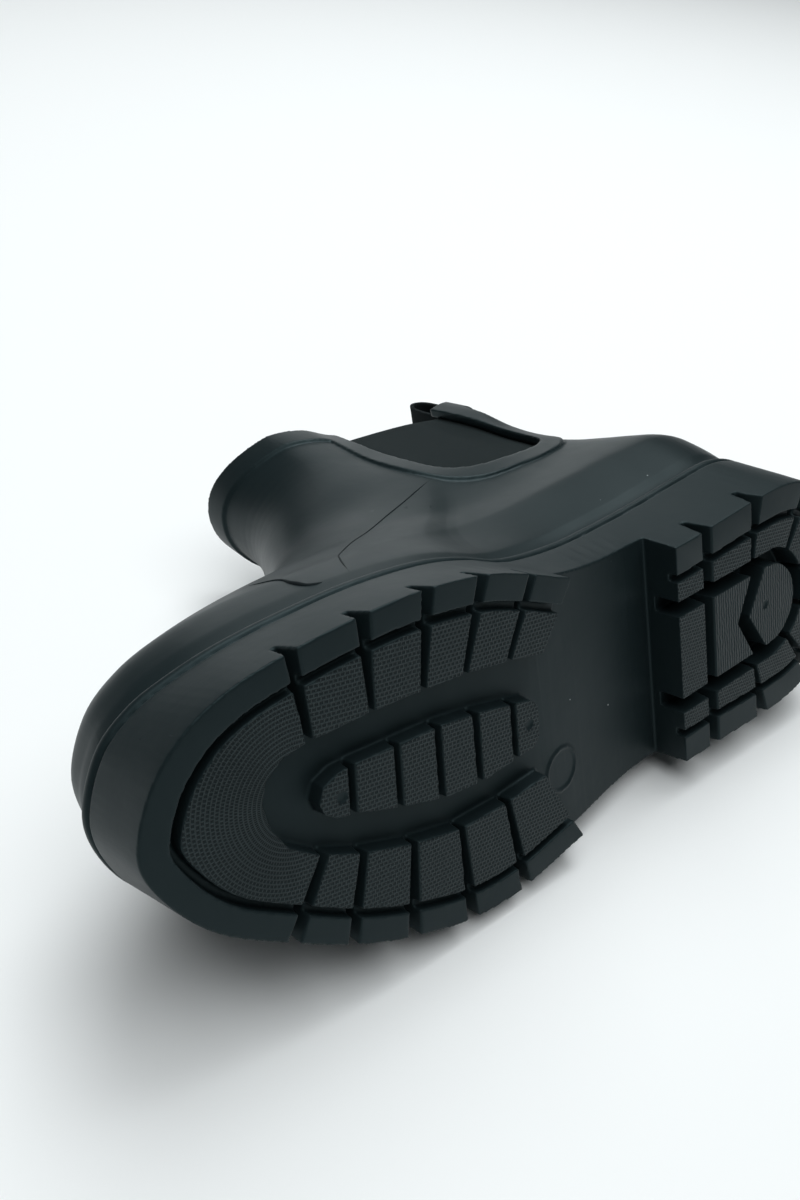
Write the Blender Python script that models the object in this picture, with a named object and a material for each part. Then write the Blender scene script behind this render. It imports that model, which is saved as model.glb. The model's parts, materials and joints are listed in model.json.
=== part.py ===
"""Moulded ankle rain boot for the right foot: upper, lugged sole, elastic gores, pull loop and insole.

The boot is worked out in its own frame in millimetres: x to the toe, y to the inner side, z up from the
tread, with the origin under the front edge of the heel. An empty then lays it on its outer side.
"""

import math

import bpy
import numpy as np
from mathutils import Matrix

MM = 0.001
GAP = 0.3

# Upper
WALL = 2.2
SKIRT = 2.4
RING_SIDE = 28
ROWS_PER_RING = 2
OVAL_POWER = 2.2
BACK_SQUARE = 0.15
WELT_LOW = 29.6
FOOT_HEEL_HALF = 39.6
FOOT_FORE_HALF = 47.6
BLEND_START = 0.3
BLEND_LENGTH = 0.35
NOSE_START = 0.62
NOSE_LENGTH = 0.2
TAIL_LENGTH = 0.25
PINCH_START = 0.03
PINCH_END = 0.56
PINCH_RAMP = 0.14

# Collar band and gore frames, a step in the wall
BAND_STEP = 1.1
BAND_ROOT = 0.5
BAND_LIFT = 0.5
BAND_DEPTH = 12.0
FRAME_WIDTH = 8.5
FIRST_SHAFT_RING = 4

# Gores
GORE_THICK = 1.4
GORE_MARGIN = 4.5
GORE_TOP = 155.5
SHAFT_MIDDLE_Y = 21.0

# Sole
SOLE_SIDE = RING_SIDE
LIP_WIDTH = 1.9
LIP_HEIGHT = 2.7
TOE_SPRING = 7.0
SPRING_START = 105.0
TOE_X = 180.0
CUT_BELOW = -3.0
FORE_DEPTH = 5.0
BREAST_DEPTH = 12.4
WAIST_END = 62.0
GROOVE_DEPTH = 4.7
NOTCH_HEIGHT = 9.0
GROOVE_NARROWING = 0.3
RIM_WIDTH = 7.5
RIM_GROOVE = 2.3
RIM_GROOVE_DEPTH = 2.8
HEEL_DEPTH = 9.3
HEEL_RIM = 9.0
HEEL_RIM_GROOVE = 2.5
HEEL_RIM_DEPTH = 3.3
D_CENTRE = -46.2
D_RADIUS = 14.0
HEEL_CHANNEL = 5.2
HEEL_RADIAL_ANGLES = (124.0, 160.0)
HEEL_RADIAL_WIDTHS = (2.6, 5.6)
HEEL_RADIAL_END = 38.0
HEEL_RING_START = 12.0
HEEL_RING_DEPTH = 9.1
HEEL_CHEVRON_DEPTH = 8.9
HEEL_GROOVE_DEPTHS = (9.3, 8.3)
FORE_RIM_START = 46.0
HEEL_RIM_START = 4.0

# How far cutters reach past what they cut: along a groove past its rim end and its inner end, and all round
FORE_REACH = (9.0, 2.5)
ISLAND_REACH = (2.5, 2.5)
HEEL_SLANT_REACH = (9.0, 1.5)
HEEL_RADIAL_REACH = (14.0, 1.5)
CHANNEL_SPAN = (-10.0, 190.0)
CHANNEL_STATIONS = 81
CUT_SIDE = 80.0
CUT_ABOVE = 40.0
SHAFT_SPAN_X = 100.0
SHAFT_SPAN_Y = (-120.0, 140.0)
SHAFT_ABOVE = 260.0

# Insole and pull loop
INSOLE_THICK = 3.0
INSOLE_PLAY = 0.6
LOOP_WIDTH = 25.0
LOOP_THICK = 1.5
LOOP_HEIGHT = 26.5
LOOP_LEAN = 0.16
LOOP_LEG = 13.0
LOOP_BULGE = 4.6
LOOP_FLAT = 0.9

# Sole outline, from the back of the heel along the inner side to the toe and back along the outer side.
# tread x, tread y, welt x, welt y, welt z
OUTLINE = [
    (-90.0, 0.0, -94.5, 0.0, 33.6),
    (-84.8, 20.3, -89.0, 20.9, 33.6),
    (-72.5, 33.3, -76.4, 34.8, 33.6),
    (-58.0, 38.3, -60.4, 40.9, 33.6),
    (-40.0, 38.7, -41.0, 40.6, 33.5),
    (-18.0, 37.6, -18.0, 39.3, 33.0),
    (0.0, 37.0, 0.0, 39.0, 32.4),
    (22.0, 39.0, 21.0, 39.6, 31.5),
    (44.0, 44.3, 43.0, 43.2, 30.4),
    (60.0, 51.4, 60.0, 50.2, 29.8),
    (76.0, 57.2, 76.0, 54.6, 29.6),
    (98.0, 61.0, 98.0, 57.2, 29.6),
    (120.0, 61.6, 120.0, 57.4, 29.6),
    (138.0, 60.2, 138.0, 56.2, 30.2),
    (152.0, 57.4, 151.5, 53.6, 31.2),
    (164.0, 51.4, 163.5, 49.3, 32.6),
    (174.2, 40.5, 173.8, 41.0, 33.6),
    (179.9, 25.5, 180.5, 25.5, 34.2),
    (175.5, 11.5, 177.2, 10.0, 34.0),
    (166.0, -1.4, 168.0, -1.4, 33.1),
    (151.0, -12.4, 152.0, -10.4, 31.6),
    (133.0, -24.0, 133.5, -20.4, 30.4),
    (115.0, -32.6, 115.0, -28.8, 29.8),
    (95.0, -39.2, 95.0, -35.8, 29.6),
    (75.0, -40.8, 75.0, -37.8, 29.6),
    (50.0, -37.4, 50.0, -37.6, 30.2),
    (25.0, -36.2, 25.0, -38.0, 31.4),
    (0.0, -37.0, 0.0, -39.0, 32.4),
    (-18.0, -37.6, -18.0, -39.3, 33.0),
    (-40.0, -38.7, -41.0, -40.6, 33.5),
    (-58.0, -38.3, -60.4, -40.9, 33.6),
    (-72.5, -33.3, -76.4, -34.8, 33.6),
    (-84.8, -20.3, -89.0, -20.9, 33.6),
]

# Rings of the upper, from the welt to the collar. Seat is how far a ring follows the welt's rise, oval how
# far it has turned from the outline of the foot to that of the shaft, nose y and tail y how far its front and
# back ends lie to the inner side, and pinch how far the gore draws the inner side in.
# front x, z, back x, z, side z, fore half, heel half, fore y, heel y, seat, oval, nose y, pinch, tail y
RINGS = [
    (178.0, 34.2, -92.2, 33.6, 29.6, 45.4, 37.4, 0.0, 0.0, 1.0, 0.0, 0.0, 0.0, 0.0),
    (176.9, 40.5, -95.2, 41.0, 37.0, 44.9, 38.0, 0.9, 1.4, 0.6, 0.0, 0.0, 0.0, 0.0),
    (173.8, 50.0, -96.4, 52.0, 47.0, 43.0, 37.8, 1.7, 4.0, 0.25, 0.0, 0.0, 0.0, 0.0),
    (165.4, 58.0, -96.0, 63.0, 56.0, 40.4, 37.4, 2.8, 6.2, 0.0, 0.05, 0.0, 0.0, 0.0),
    (149.5, 65.0, -92.8, 74.0, 64.0, 37.4, 36.0, 5.2, 8.0, 0.0, 0.15, 0.0, 0.0, 0.0),
    (127.5, 73.0, -87.2, 86.0, 72.5, 35.0, 34.2, 7.0, 10.2, 0.0, 0.3, 0.0, 0.0, 0.0),
    (104.5, 83.0, -80.0, 98.0, 82.5, 34.0, 32.8, 9.8, 12.6, 0.0, 0.5, 0.0, 0.0, 0.3),
    (85.5, 97.0, -73.2, 111.0, 94.5, 33.4, 32.0, 13.4, 15.2, 0.0, 0.7, 0.5, 0.0, 1.2),
    (70.0, 117.0, -68.0, 127.0, 110.5, 32.0, 30.5, 18.5, 18.2, 0.0, 0.85, 2.5, 1.0, 4.2),
    (57.6, 143.0, -65.2, 144.0, 131.0, 30.6, 29.4, 23.5, 22.0, 0.0, 1.0, 5.0, 3.0, 7.0),
    (54.0, 174.0, -64.0, 161.0, 156.0, 30.0, 29.6, 27.5, 26.5, 0.0, 1.0, 6.0, 5.5, 1.8),
]

# Edge of a gore opening in the side view, from the front of the collar down and round to the back: x, z
GORE_EDGE = [
    (3.0, 165.0),
    (5.0, 148.0),
    (8.0, 124.0),
    (7.0, 108.0),
    (2.0, 97.0),
    (-7.0, 91.5),
    (-20.0, 90.0),
    (-34.0, 91.0),
    (-43.5, 95.0),
    (-47.5, 103.0),
    (-48.0, 130.0),
    (-46.0, 165.0),
]

# Grooves between the forefoot lugs, each by its front and rear edge from the rim inwards.
# front rim x, y, front inner x, y, rear rim x, y, rear inner x, y
FORE_GROOVES = [
    (137.1, 59.6, 136.2, 36.8, 132.7, 61.0, 133.0, 36.8),
    (116.9, 61.6, 117.6, 36.5, 111.8, 61.7, 115.2, 36.2),
    (96.7, 60.9, 101.5, 35.3, 91.7, 60.5, 99.0, 34.7),
    (78.1, 58.0, 87.5, 33.4, 73.8, 56.6, 85.1, 32.9),
    (60.2, 51.7, 72.1, 30.6, 57.4, 50.2, 69.7, 30.0),
    (151.0, -12.0, 138.1, 6.7, 147.2, -15.5, 134.8, 5.0),
    (135.3, -22.4, 127.3, 1.2, 131.6, -24.9, 124.0, -0.1),
    (117.6, -31.5, 111.8, -4.9, 112.6, -33.1, 108.8, -5.7),
    (97.3, -38.5, 95.7, -9.2, 92.4, -40.6, 92.8, -9.8),
    (76.3, -40.8, 78.5, -10.5, 71.8, -40.6, 75.7, -10.4),
]

# Grooves across the island: front top x, y, front bottom x, y, rear top x, y, rear bottom x, y
ISLAND_GROOVES = [
    (126.4, 25.2, 128.1, 12.4, 123.4, 25.5, 125.1, 11.9),
    (112.2, 25.0, 113.9, 8.2, 109.7, 24.4, 111.4, 6.5),
    (99.1, 23.1, 100.8, 3.3, 96.0, 23.1, 97.7, 2.1),
    (86.1, 21.3, 87.3, 0.6, 82.9, 20.6, 84.3, 0.3),
    (72.6, 18.3, 73.7, 0.0, 69.8, 17.2, 70.8, 0.0),
]

# Outline of the island: x, y
ISLAND = [
    (135.4, 19.5),
    (133.6, 23.4),
    (129.0, 25.3),
    (123.4, 25.5),
    (109.7, 24.4),
    (96.0, 23.1),
    (82.9, 20.6),
    (69.8, 17.2),
    (64.6, 15.7),
    (62.0, 13.0),
    (62.6, 3.6),
    (65.2, 1.0),
    (84.3, 0.3),
    (97.7, 2.1),
    (111.4, 6.5),
    (125.1, 11.9),
    (131.5, 13.6),
    (134.6, 16.2),
]

# Outline of the smooth channel and waist, from the heel's front edge along the inner side and back: x, y
CHANNEL = [
    (0.0, 60.0),
    (44.6, 60.0),
    (45.2, 43.4),
    (58.0, 27.0),
    (69.0, 29.9),
    (86.0, 33.2),
    (100.0, 35.0),
    (117.0, 36.4),
    (134.0, 36.8),
    (142.0, 35.8),
    (147.4, 32.0),
    (149.4, 26.5),
    (148.6, 19.0),
    (145.2, 12.4),
    (138.0, 6.6),
    (126.0, 0.6),
    (110.0, -5.3),
    (94.0, -9.6),
    (77.0, -10.5),
    (61.8, -9.8),
    (54.3, -27.0),
    (49.5, -36.6),
    (48.0, -60.0),
    (0.0, -60.0),
]

# Gap between the two middle lugs of the heel: x, y
HEEL_CHEVRON = [
    (-37.1, 14.6),
    (-29.3, 0.0),
    (-37.4, -14.6),
    (-44.6, -14.9),
    (-35.3, 0.0),
    (-44.6, 14.9),
]
HEEL_CROSS = (-12.1, -17.8)
HEEL_SLANT_INNER = (-36.8, -38.9, 19.0)
HEEL_SLANT_OUTER = (-37.8, -44.2, 38.4)

# Middle line of the pull loop: distance out from the wall's outer face, height above the collar edge
# in parts of the bulge and of the loop's height
LOOP_LINE = [
    (-0.5, 0.12),
    (-0.95, 0.4),
    (-1.0, 0.68),
    (-0.75, 0.9),
    (0.0, 1.0),
    (0.75, 0.9),
    (1.0, 0.68),
    (0.95, 0.4),
    (0.5, 0.12),
]


def smooth(t):
    t = np.clip(t, 0.0, 1.0)
    return t * t * (3 - 2 * t)


def spline(a, b, c, d, t):
    """Point at t on the smooth stretch from b to c."""
    return 0.5 * (2 * b + (c - a) * t + (2 * a - 5 * b + 4 * c - d) * t * t + (3 * b - a - 3 * c + d) * t**3)


def closed_curve(rows, n):
    """A smooth closed curve through the rows, n points to each stretch."""
    p = np.asarray(rows, float)
    before, after, later = np.roll(p, 1, 0), np.roll(p, -1, 0), np.roll(p, -2, 0)
    steps = [spline(before, p, after, later, t) for t in np.arange(n) / n]
    return np.stack(steps, 1).reshape(-1, p.shape[1])


def open_curve(rows, n):
    """A smooth open curve through the rows, n points to each stretch and the last row."""
    p = np.asarray(rows, float)
    q = np.vstack([2 * p[0] - p[1], p, 2 * p[-1] - p[-2]])
    points = [spline(*q[i : i + 4], t) for i in range(len(p) - 1) for t in np.arange(n) / n]
    return np.array(points + [p[-1]])


def grown(points, distance):
    """A closed outline that runs clockwise, moved outwards by the distance in its first two columns."""
    ahead = np.roll(points, -1, 0)[:, :2] - np.roll(points, 1, 0)[:, :2]
    ahead /= np.linalg.norm(ahead, axis=1)[:, None]
    moved = points.copy()
    moved[:, 0] -= distance * ahead[:, 1]
    moved[:, 1] += distance * ahead[:, 0]
    return moved


def sides(points):
    """The inner and the outer side of a closed outline, each from heel to toe."""
    q = np.roll(points, -points[:, 0].argmin(), 0)
    toe = q[:, 0].argmax()
    return q[: toe + 1], np.vstack([q[toe:], q[:1]])[::-1]


def sampled(chain, s):
    """Rows of a side at the shares s of its length along x."""
    x = chain[0, 0] + (chain[-1, 0] - chain[0, 0]) * s
    columns = [np.interp(x, chain[:, 0], chain[:, k]) for k in range(1, chain.shape[1])]
    return np.stack([x] + columns, 1)


def shares(n):
    """Shares from 0 to 1, closer together at both ends, where an outline turns."""
    return (1 - np.cos(np.linspace(0, math.pi, n + 1))) / 2


def ring_of(inner, outer):
    """One closed ring from the two sides of an outline: heel to toe on the inner side, then back."""
    return np.vstack([inner, outer[-2:0:-1]])


DENSE = closed_curve(OUTLINE, 16)
TREAD = DENSE[:, :2]
WELT = DENSE[:, 2:]
WELT_INNER, WELT_OUTER = sides(WELT)
SEAT_INNER, SEAT_OUTER = sides(grown(WELT, -LIP_WIDTH - GAP))


def spring(x):
    """Height of the tread at x: flat from the heel to the ball, then rising to the toe."""
    return TOE_SPRING * np.clip((x - SPRING_START) / (TOE_X - SPRING_START), 0, None) ** 2


def upper_ring(row, n):
    """One ring of the upper's outer face."""
    front_x, front_z, back_x, back_z, side_z, fore, heel, fore_y, heel_y = row[:9]
    seat, oval, nose_y, pinch, tail_y = row[9:]
    s = shares(n)
    a, b = sampled(WELT_INNER, s), sampled(WELT_OUTER, s)
    width = (a[:, 1] - b[:, 1]) / 2
    t = smooth((s - BLEND_START) / BLEND_LENGTH)
    foot = width / (FOOT_HEEL_HALF + (FOOT_FORE_HALF - FOOT_HEEL_HALF) * t)
    power = np.where(s < 0.5, OVAL_POWER + BACK_SQUARE * pinch, OVAL_POWER)
    egg = (1 - np.abs(2 * s - 1) ** power).clip(0) ** (1 / power)
    half = (heel + (fore - heel) * t) * ((1 - oval) * foot + oval * egg)
    middle = (1 - oval) * (a[:, 1] + b[:, 1]) / 2 + heel_y + (fore_y - heel_y) * t
    middle += nose_y * smooth((s - NOSE_START) / NOSE_LENGTH) + tail_y * (1 - smooth(s / TAIL_LENGTH))
    drawn = pinch * smooth((s - PINCH_START) / PINCH_RAMP) * (1 - smooth((s - PINCH_END) / PINCH_RAMP))
    x = back_x + (front_x - back_x) * s
    to_front = np.clip(2 * s - 1, 0, 1) ** 2
    to_back = np.clip(1 - 2 * s, 0, 1) ** 2
    level = side_z + (front_z - side_z) * to_front + (back_z - side_z) * to_back
    z = level + seat * ((a[:, 2] + b[:, 2]) / 2 + side_z - WELT_LOW - level)
    inner, outer = np.stack([x, middle + half - drawn, z], 1), np.stack([x, middle - half, z], 1)
    if seat == 1:
        inner[:, :2], outer[:, :2] = sampled(SEAT_INNER, s)[:, :2], sampled(SEAT_OUTER, s)[:, :2]
    return ring_of(inner, outer)


def upper_grid(first=0, n=RING_SIDE, per=ROWS_PER_RING):
    """Points of the upper's outer face by row and place round the ring, and the outward direction at each."""
    rows = open_curve(RINGS, per)
    grid = np.stack([upper_ring(row, n) for row in rows])
    grid = np.concatenate([grid[:1] - (0, 0, SKIRT), grid])
    along = np.gradient(grid, axis=0)
    round_ring = np.roll(grid, -1, 1) - np.roll(grid, 1, 1)
    out = np.cross(round_ring, along)
    out[:2, :, 2] = 0
    out /= np.linalg.norm(out, axis=2)[:, :, None]
    if (out * (grid - grid.mean(1)[:, None])).sum() < 0:
        out = -out
    start = first * per + 1 if first else 0
    return grid[start:], out[start:]


def new_object(name, points, faces, collection):
    """A mesh object from points in millimetres, with its faces turned outwards."""
    mesh = bpy.data.meshes.new(name)
    mesh.from_pydata((np.asarray(points) * MM).tolist(), [], faces)
    mesh.update()
    if signed_volume(mesh) < 0:
        mesh.flip_normals()
    obj = bpy.data.objects.new(name, mesh)
    collection.objects.link(obj)
    return obj


def signed_volume(mesh):
    mesh.calc_loop_triangles()
    corners = np.array([[mesh.vertices[i].co for i in t.vertices] for t in mesh.loop_triangles])
    return np.linalg.det(corners).sum()


def tube_faces(count, size, closed):
    """Faces of a tube of rings, closed into a loop or left open at both ends."""
    faces = []
    for r in range(count if closed else count - 1):
        low, high = r * size, (r + 1) % count * size
        for i in range(size):
            j = (i + 1) % size
            faces.append((low + i, low + j, high + j, high + i))
    return faces


def bar(name, sections, collection):
    """A solid through sections of equal length, closed by one flat face at each end."""
    sections = np.asarray(sections)
    count, size = sections.shape[:2]
    faces = [face[::-1] for face in tube_faces(count, size, False)]
    faces += [tuple(range(size)), tuple(range(count * size - 1, (count - 1) * size - 1, -1))]
    return new_object(name, sections.reshape(-1, 3), faces, collection)


def loft(name, rings, collection, caps):
    """A solid through rings of equal length. With no caps the last ring joins the first again."""
    rings = np.asarray(rings)
    count, size = rings.shape[:2]
    faces = tube_faces(count, size, not caps)
    if caps:
        faces += strips(size, 0)
        faces += [face[::-1] for face in strips(size, (count - 1) * size)]
    return new_object(name, rings.reshape(-1, 3), faces, collection)


def strips(size, base):
    """Faces that close a ring with strips from its inner to its outer side."""
    half = size // 2
    faces = [(base, base + size - 1, base + 1), (base + half - 1, base + half + 1, base + half)]
    for i in range(1, half - 1):
        faces.append((base + i, base + size - i, base + size - i - 1, base + i + 1))
    return faces


def shell(name, outside, inside, collection, first=0, lift=0.0):
    """A wall between two distances from the upper's outer face."""
    grid, out = upper_grid(first)
    outer = grid + out * outside
    inner = grid + out * inside
    outer[-1, :, 2] += lift
    inner[-1, :, 2] += lift
    return loft(name, np.concatenate([outer, inner[::-1]]), collection, caps=False)


def prism(name, outline, low, high, collection, axis="Z"):
    """A flat outline drawn out from low to high along Z, or along Y from an outline in x and z."""
    n = len(outline)
    if axis == "Z":
        points = [(x, y, end) for end in (low, high) for x, y in outline]
    else:
        points = [(x, end, z) for end in (low, high) for x, z in outline]
    faces = [tuple(range(n)), tuple(range(2 * n - 1, n - 1, -1))]
    faces += [(i, i + n, (i + 1) % n + n, (i + 1) % n) for i in range(n)]
    return new_object(name, points, faces, collection)


def join(target, other, operation):
    """Joins, cuts or crosses the target with another form."""
    modifier = target.modifiers.new(other.name, "BOOLEAN")
    modifier.operation = operation
    modifier.solver = "EXACT"
    modifier.object = other


def collar_height(x):
    """Height of the collar edge above x."""
    front_x, front_z, back_x, back_z, side_z = RINGS[-1][:5]
    s = (x - back_x) / (front_x - back_x)
    return side_z + (front_z - side_z) * max(2 * s - 1, 0) ** 2 + (back_z - side_z) * max(1 - 2 * s, 0) ** 2


def gore_outline(margin):
    """The edge of a gore opening, moved outwards by the margin and drawn up past the collar."""
    edge = open_curve(GORE_EDGE, 3)
    ahead = np.gradient(edge, axis=0)
    ahead /= np.linalg.norm(ahead, axis=1)[:, None]
    return edge + margin * np.stack([-ahead[:, 1], ahead[:, 0]], 1)


def make_upper(parts, cutters):
    upper = shell("upper", 0.0, -WALL, parts)
    band = shell("band_form", BAND_STEP, -BAND_ROOT, cutters, FIRST_SHAFT_RING, BAND_LIFT)
    frame = gore_outline(FRAME_WIDTH)
    front = [(x, collar_height(x) - BAND_DEPTH) for x in np.linspace(SHAFT_SPAN_X, frame[0, 0], 9)]
    back = [(x, collar_height(x) - BAND_DEPTH) for x in np.linspace(frame[-1, 0], -SHAFT_SPAN_X, 9)]
    low = [point for point in frame if point[1] < collar_height(point[0]) - BAND_DEPTH]
    outline = front[:-1] + [tuple(point) for point in low] + back[1:]
    outline += [(-SHAFT_SPAN_X, SHAFT_ABOVE), (SHAFT_SPAN_X, SHAFT_ABOVE)]
    join(band, prism("band_outline", outline, *SHAFT_SPAN_Y, cutters, "Y"), "INTERSECT")
    join(upper, band, "UNION")
    edge = [tuple(point) for point in gore_outline(0.0)]
    opening = edge + [(edge[-1][0], SHAFT_ABOVE), (edge[0][0], SHAFT_ABOVE)]
    join(upper, prism("gore_openings", opening, *SHAFT_SPAN_Y, cutters, "Y"), "DIFFERENCE")
    return upper


def make_gores(parts, cutters):
    outside = -(WALL + GAP)
    edge = [tuple(point) for point in gore_outline(GORE_MARGIN) if point[1] < GORE_TOP]
    outline = [(edge[0][0], GORE_TOP)] + edge + [(edge[-1][0], GORE_TOP)]
    made = []
    low_y, high_y = SHAFT_SPAN_Y
    for name, low, high in (("medial", SHAFT_MIDDLE_Y, high_y), ("lateral", low_y, SHAFT_MIDDLE_Y)):
        gore = shell("gore_" + name, outside, outside - GORE_THICK, parts, FIRST_SHAFT_RING)
        join(gore, prism("gore_outline_" + name, outline, low, high, cutters, "Y"), "INTERSECT")
        made.append(gore)
    return made


def sole_ring(points, height):
    """Ring of the sole from an outline, at the height that a function gives for the rows of each side."""
    s = shares(SOLE_SIDE)
    rows = []
    for chain in sides(points):
        side = sampled(chain, s)
        rows.append(np.column_stack([side[:, :2], height(side)]))
    return ring_of(*rows)


def band_along(name, chosen, inset, width, high, collection):
    """A strip inside the tread's edge along the chosen stretch of it, open at both ends of that stretch."""
    near, far = grown(TREAD, -inset), grown(TREAD, -inset - width)
    start = int(np.flatnonzero(chosen & ~np.roll(chosen, 1))[0])
    order = np.roll(np.arange(len(TREAD)), -start)
    order = order[chosen[order]]
    order = np.append(order[:-1:4], order[-1])
    sections = []
    for i in order:
        top = high + spring(TREAD[i, 0])
        sections.append([(*near[i], CUT_BELOW), (*far[i], CUT_BELOW), (*far[i], top), (*near[i], top)])
    return bar(name, sections, collection)


def wedge(front, rear, depths, reach):
    """Corners of a groove between two edges from rim to inside, narrower at its floor, with spare length."""
    front, rear = np.array(front, float), np.array(rear, float)
    stretched = []
    for edge in (front, rear):
        ahead = (edge[1] - edge[0]) / np.linalg.norm(edge[1] - edge[0])
        stretched.append(np.array([edge[0] - ahead * reach[0], edge[1] + ahead * reach[1]]))
    middle = (stretched[0] + stretched[1]) / 2
    floor = [middle + (edge - middle) * GROOVE_NARROWING for edge in stretched]
    plan = [stretched[0][0], stretched[0][1], stretched[1][1], stretched[1][0]]
    top = [floor[0][0], floor[0][1], floor[1][1], floor[1][0]]
    heights = [depths[0], depths[1], depths[1], depths[0]]
    low = [(x, y, CUT_BELOW) for x, y in plan]
    return low + [(x, y, z + spring(x)) for (x, y), z in zip(top, heights)]


def wedges(name, grooves, collection):
    """One cutter from grooves that don't meet each other."""
    points, faces = [], []
    box = [(0, 1, 2, 3), (7, 6, 5, 4), (0, 4, 5, 1), (1, 5, 6, 2), (2, 6, 7, 3), (3, 7, 4, 0)]
    for corners in grooves:
        base = len(points)
        a, b, c = (np.array(corners[i]) for i in (0, 1, 3))
        turned = np.cross(b - a, c - a)[2] > 0
        points += corners
        faces += [tuple(base + i for i in (face[::-1] if turned else face)) for face in box]
    return new_object(name, points, faces, collection)


def make_channel(cutters):
    """The smooth hollow round the island and under the waist, up to its sloping floor."""
    stations = np.linspace(*CHANNEL_SPAN, CHANNEL_STATIONS)
    rise = BREAST_DEPTH - FORE_DEPTH
    floor = FORE_DEPTH + rise * smooth((WAIST_END - stations) / WAIST_END) + spring(stations)
    side = CUT_SIDE
    sections = []
    for x, z in zip(stations, floor):
        sections.append([(x, -side, CUT_BELOW), (x, side, CUT_BELOW), (x, side, z), (x, -side, z)])
    channel = bar("channel", sections, cutters)
    join(channel, prism("channel_outline", CHANNEL, 2 * CUT_BELOW, CUT_ABOVE, cutters), "INTERSECT")
    join(channel, prism("island", ISLAND, 3 * CUT_BELOW, 2 * CUT_ABOVE, cutters), "DIFFERENCE")
    return channel


def heel_cutters(cutters):
    """The grooves of the heel, each its own cutter."""
    edges = [[(x, CUT_SIDE), (x, -CUT_SIDE)] for x in HEEL_CROSS]
    cross = wedges("heel_cross", [wedge(*edges, (HEEL_DEPTH, HEEL_DEPTH), (0, 0))], cutters)
    angles = np.radians(np.linspace(90, 270, 15))
    wide = D_RADIUS + HEEL_CHANNEL
    outer = [(D_CENTRE + wide * math.cos(a), wide * math.sin(a)) for a in angles]
    inner = [(D_CENTRE + D_RADIUS * math.cos(a), D_RADIUS * math.sin(a)) for a in angles[::-1]]
    start = HEEL_RING_START
    horseshoe = [(start, wide)] + outer + [(start, -wide), (start, -D_RADIUS)] + inner + [(start, D_RADIUS)]
    ring = prism("heel_ring", horseshoe, CUT_BELOW, HEEL_RING_DEPTH, cutters)
    chevron = prism("heel_chevron", HEEL_CHEVRON, CUT_BELOW, HEEL_CHEVRON_DEPTH, cutters)
    grooves = []
    for side in (1, -1):
        near, far = HEEL_SLANT_INNER, HEEL_SLANT_OUTER
        edges = [[(far[k], side * far[2]), (near[k], side * near[2])] for k in (0, 1)]
        grooves.append(wedge(*edges, HEEL_GROOVE_DEPTHS, HEEL_SLANT_REACH))
        for angle in HEEL_RADIAL_ANGLES:
            a = math.radians(angle * side)
            along = np.array([math.cos(a), math.sin(a)])
            across = np.array([-along[1], along[0]])
            foot = np.array([D_CENTRE, 0]) + along * wide
            rim = np.array([D_CENTRE, 0]) + along * HEEL_RADIAL_END
            narrow, broad = (w / 2 for w in HEEL_RADIAL_WIDTHS)
            edges = [[rim + k * across * broad, foot + k * across * narrow] for k in (1, -1)]
            grooves.append(wedge(*edges, HEEL_GROOVE_DEPTHS, HEEL_RADIAL_REACH))
    return [cross, ring, chevron, wedges("heel_grooves", grooves, cutters)]


def make_outsole(parts, cutters):
    lip_inner = grown(WELT, -LIP_WIDTH)
    rings = [
        sole_ring(TREAD, lambda side: spring(side[:, 0])),
        sole_ring(WELT, lambda side: side[:, 2] - LIP_HEIGHT),
        sole_ring(grown(WELT, -0.3), lambda side: side[:, 2]),
        sole_ring(lip_inner, lambda side: side[:, 2]),
        sole_ring(lip_inner, lambda side: side[:, 2] - LIP_HEIGHT),
    ]
    outsole = loft("outsole", rings, parts, caps=True)
    join(outsole, make_channel(cutters), "DIFFERENCE")
    grooves = []
    for row in FORE_GROOVES:
        edges = np.reshape(row, (2, 2, 2))
        grooves.append(wedge(*edges, (NOTCH_HEIGHT, GROOVE_DEPTH), FORE_REACH))
    for row in ISLAND_GROOVES:
        edges = np.reshape(row, (2, 2, 2))
        grooves.append(wedge(*edges, (GROOVE_DEPTH, GROOVE_DEPTH), ISLAND_REACH))
    join(outsole, wedges("fore_grooves", grooves, cutters), "DIFFERENCE")
    fore = TREAD[:, 0] > FORE_RIM_START
    fore_rim = band_along("fore_rim", fore, RIM_WIDTH, RIM_GROOVE, RIM_GROOVE_DEPTH, cutters)
    join(outsole, fore_rim, "DIFFERENCE")
    for cutter in heel_cutters(cutters):
        join(outsole, cutter, "DIFFERENCE")
    heel = TREAD[:, 0] < HEEL_RIM_START
    heel_rim = band_along("heel_rim", heel, HEEL_RIM, HEEL_RIM_GROOVE, HEEL_RIM_DEPTH, cutters)
    join(outsole, heel_rim, "DIFFERENCE")
    return outsole


def make_insole(parts):
    edge = grown(WELT, -LIP_WIDTH - GAP - WALL - INSOLE_PLAY)
    low = sole_ring(edge, lambda side: side[:, 2] - LIP_HEIGHT + GAP)
    return loft("insole", [low, low + (0, 0, INSOLE_THICK)], parts, caps=True)


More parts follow.
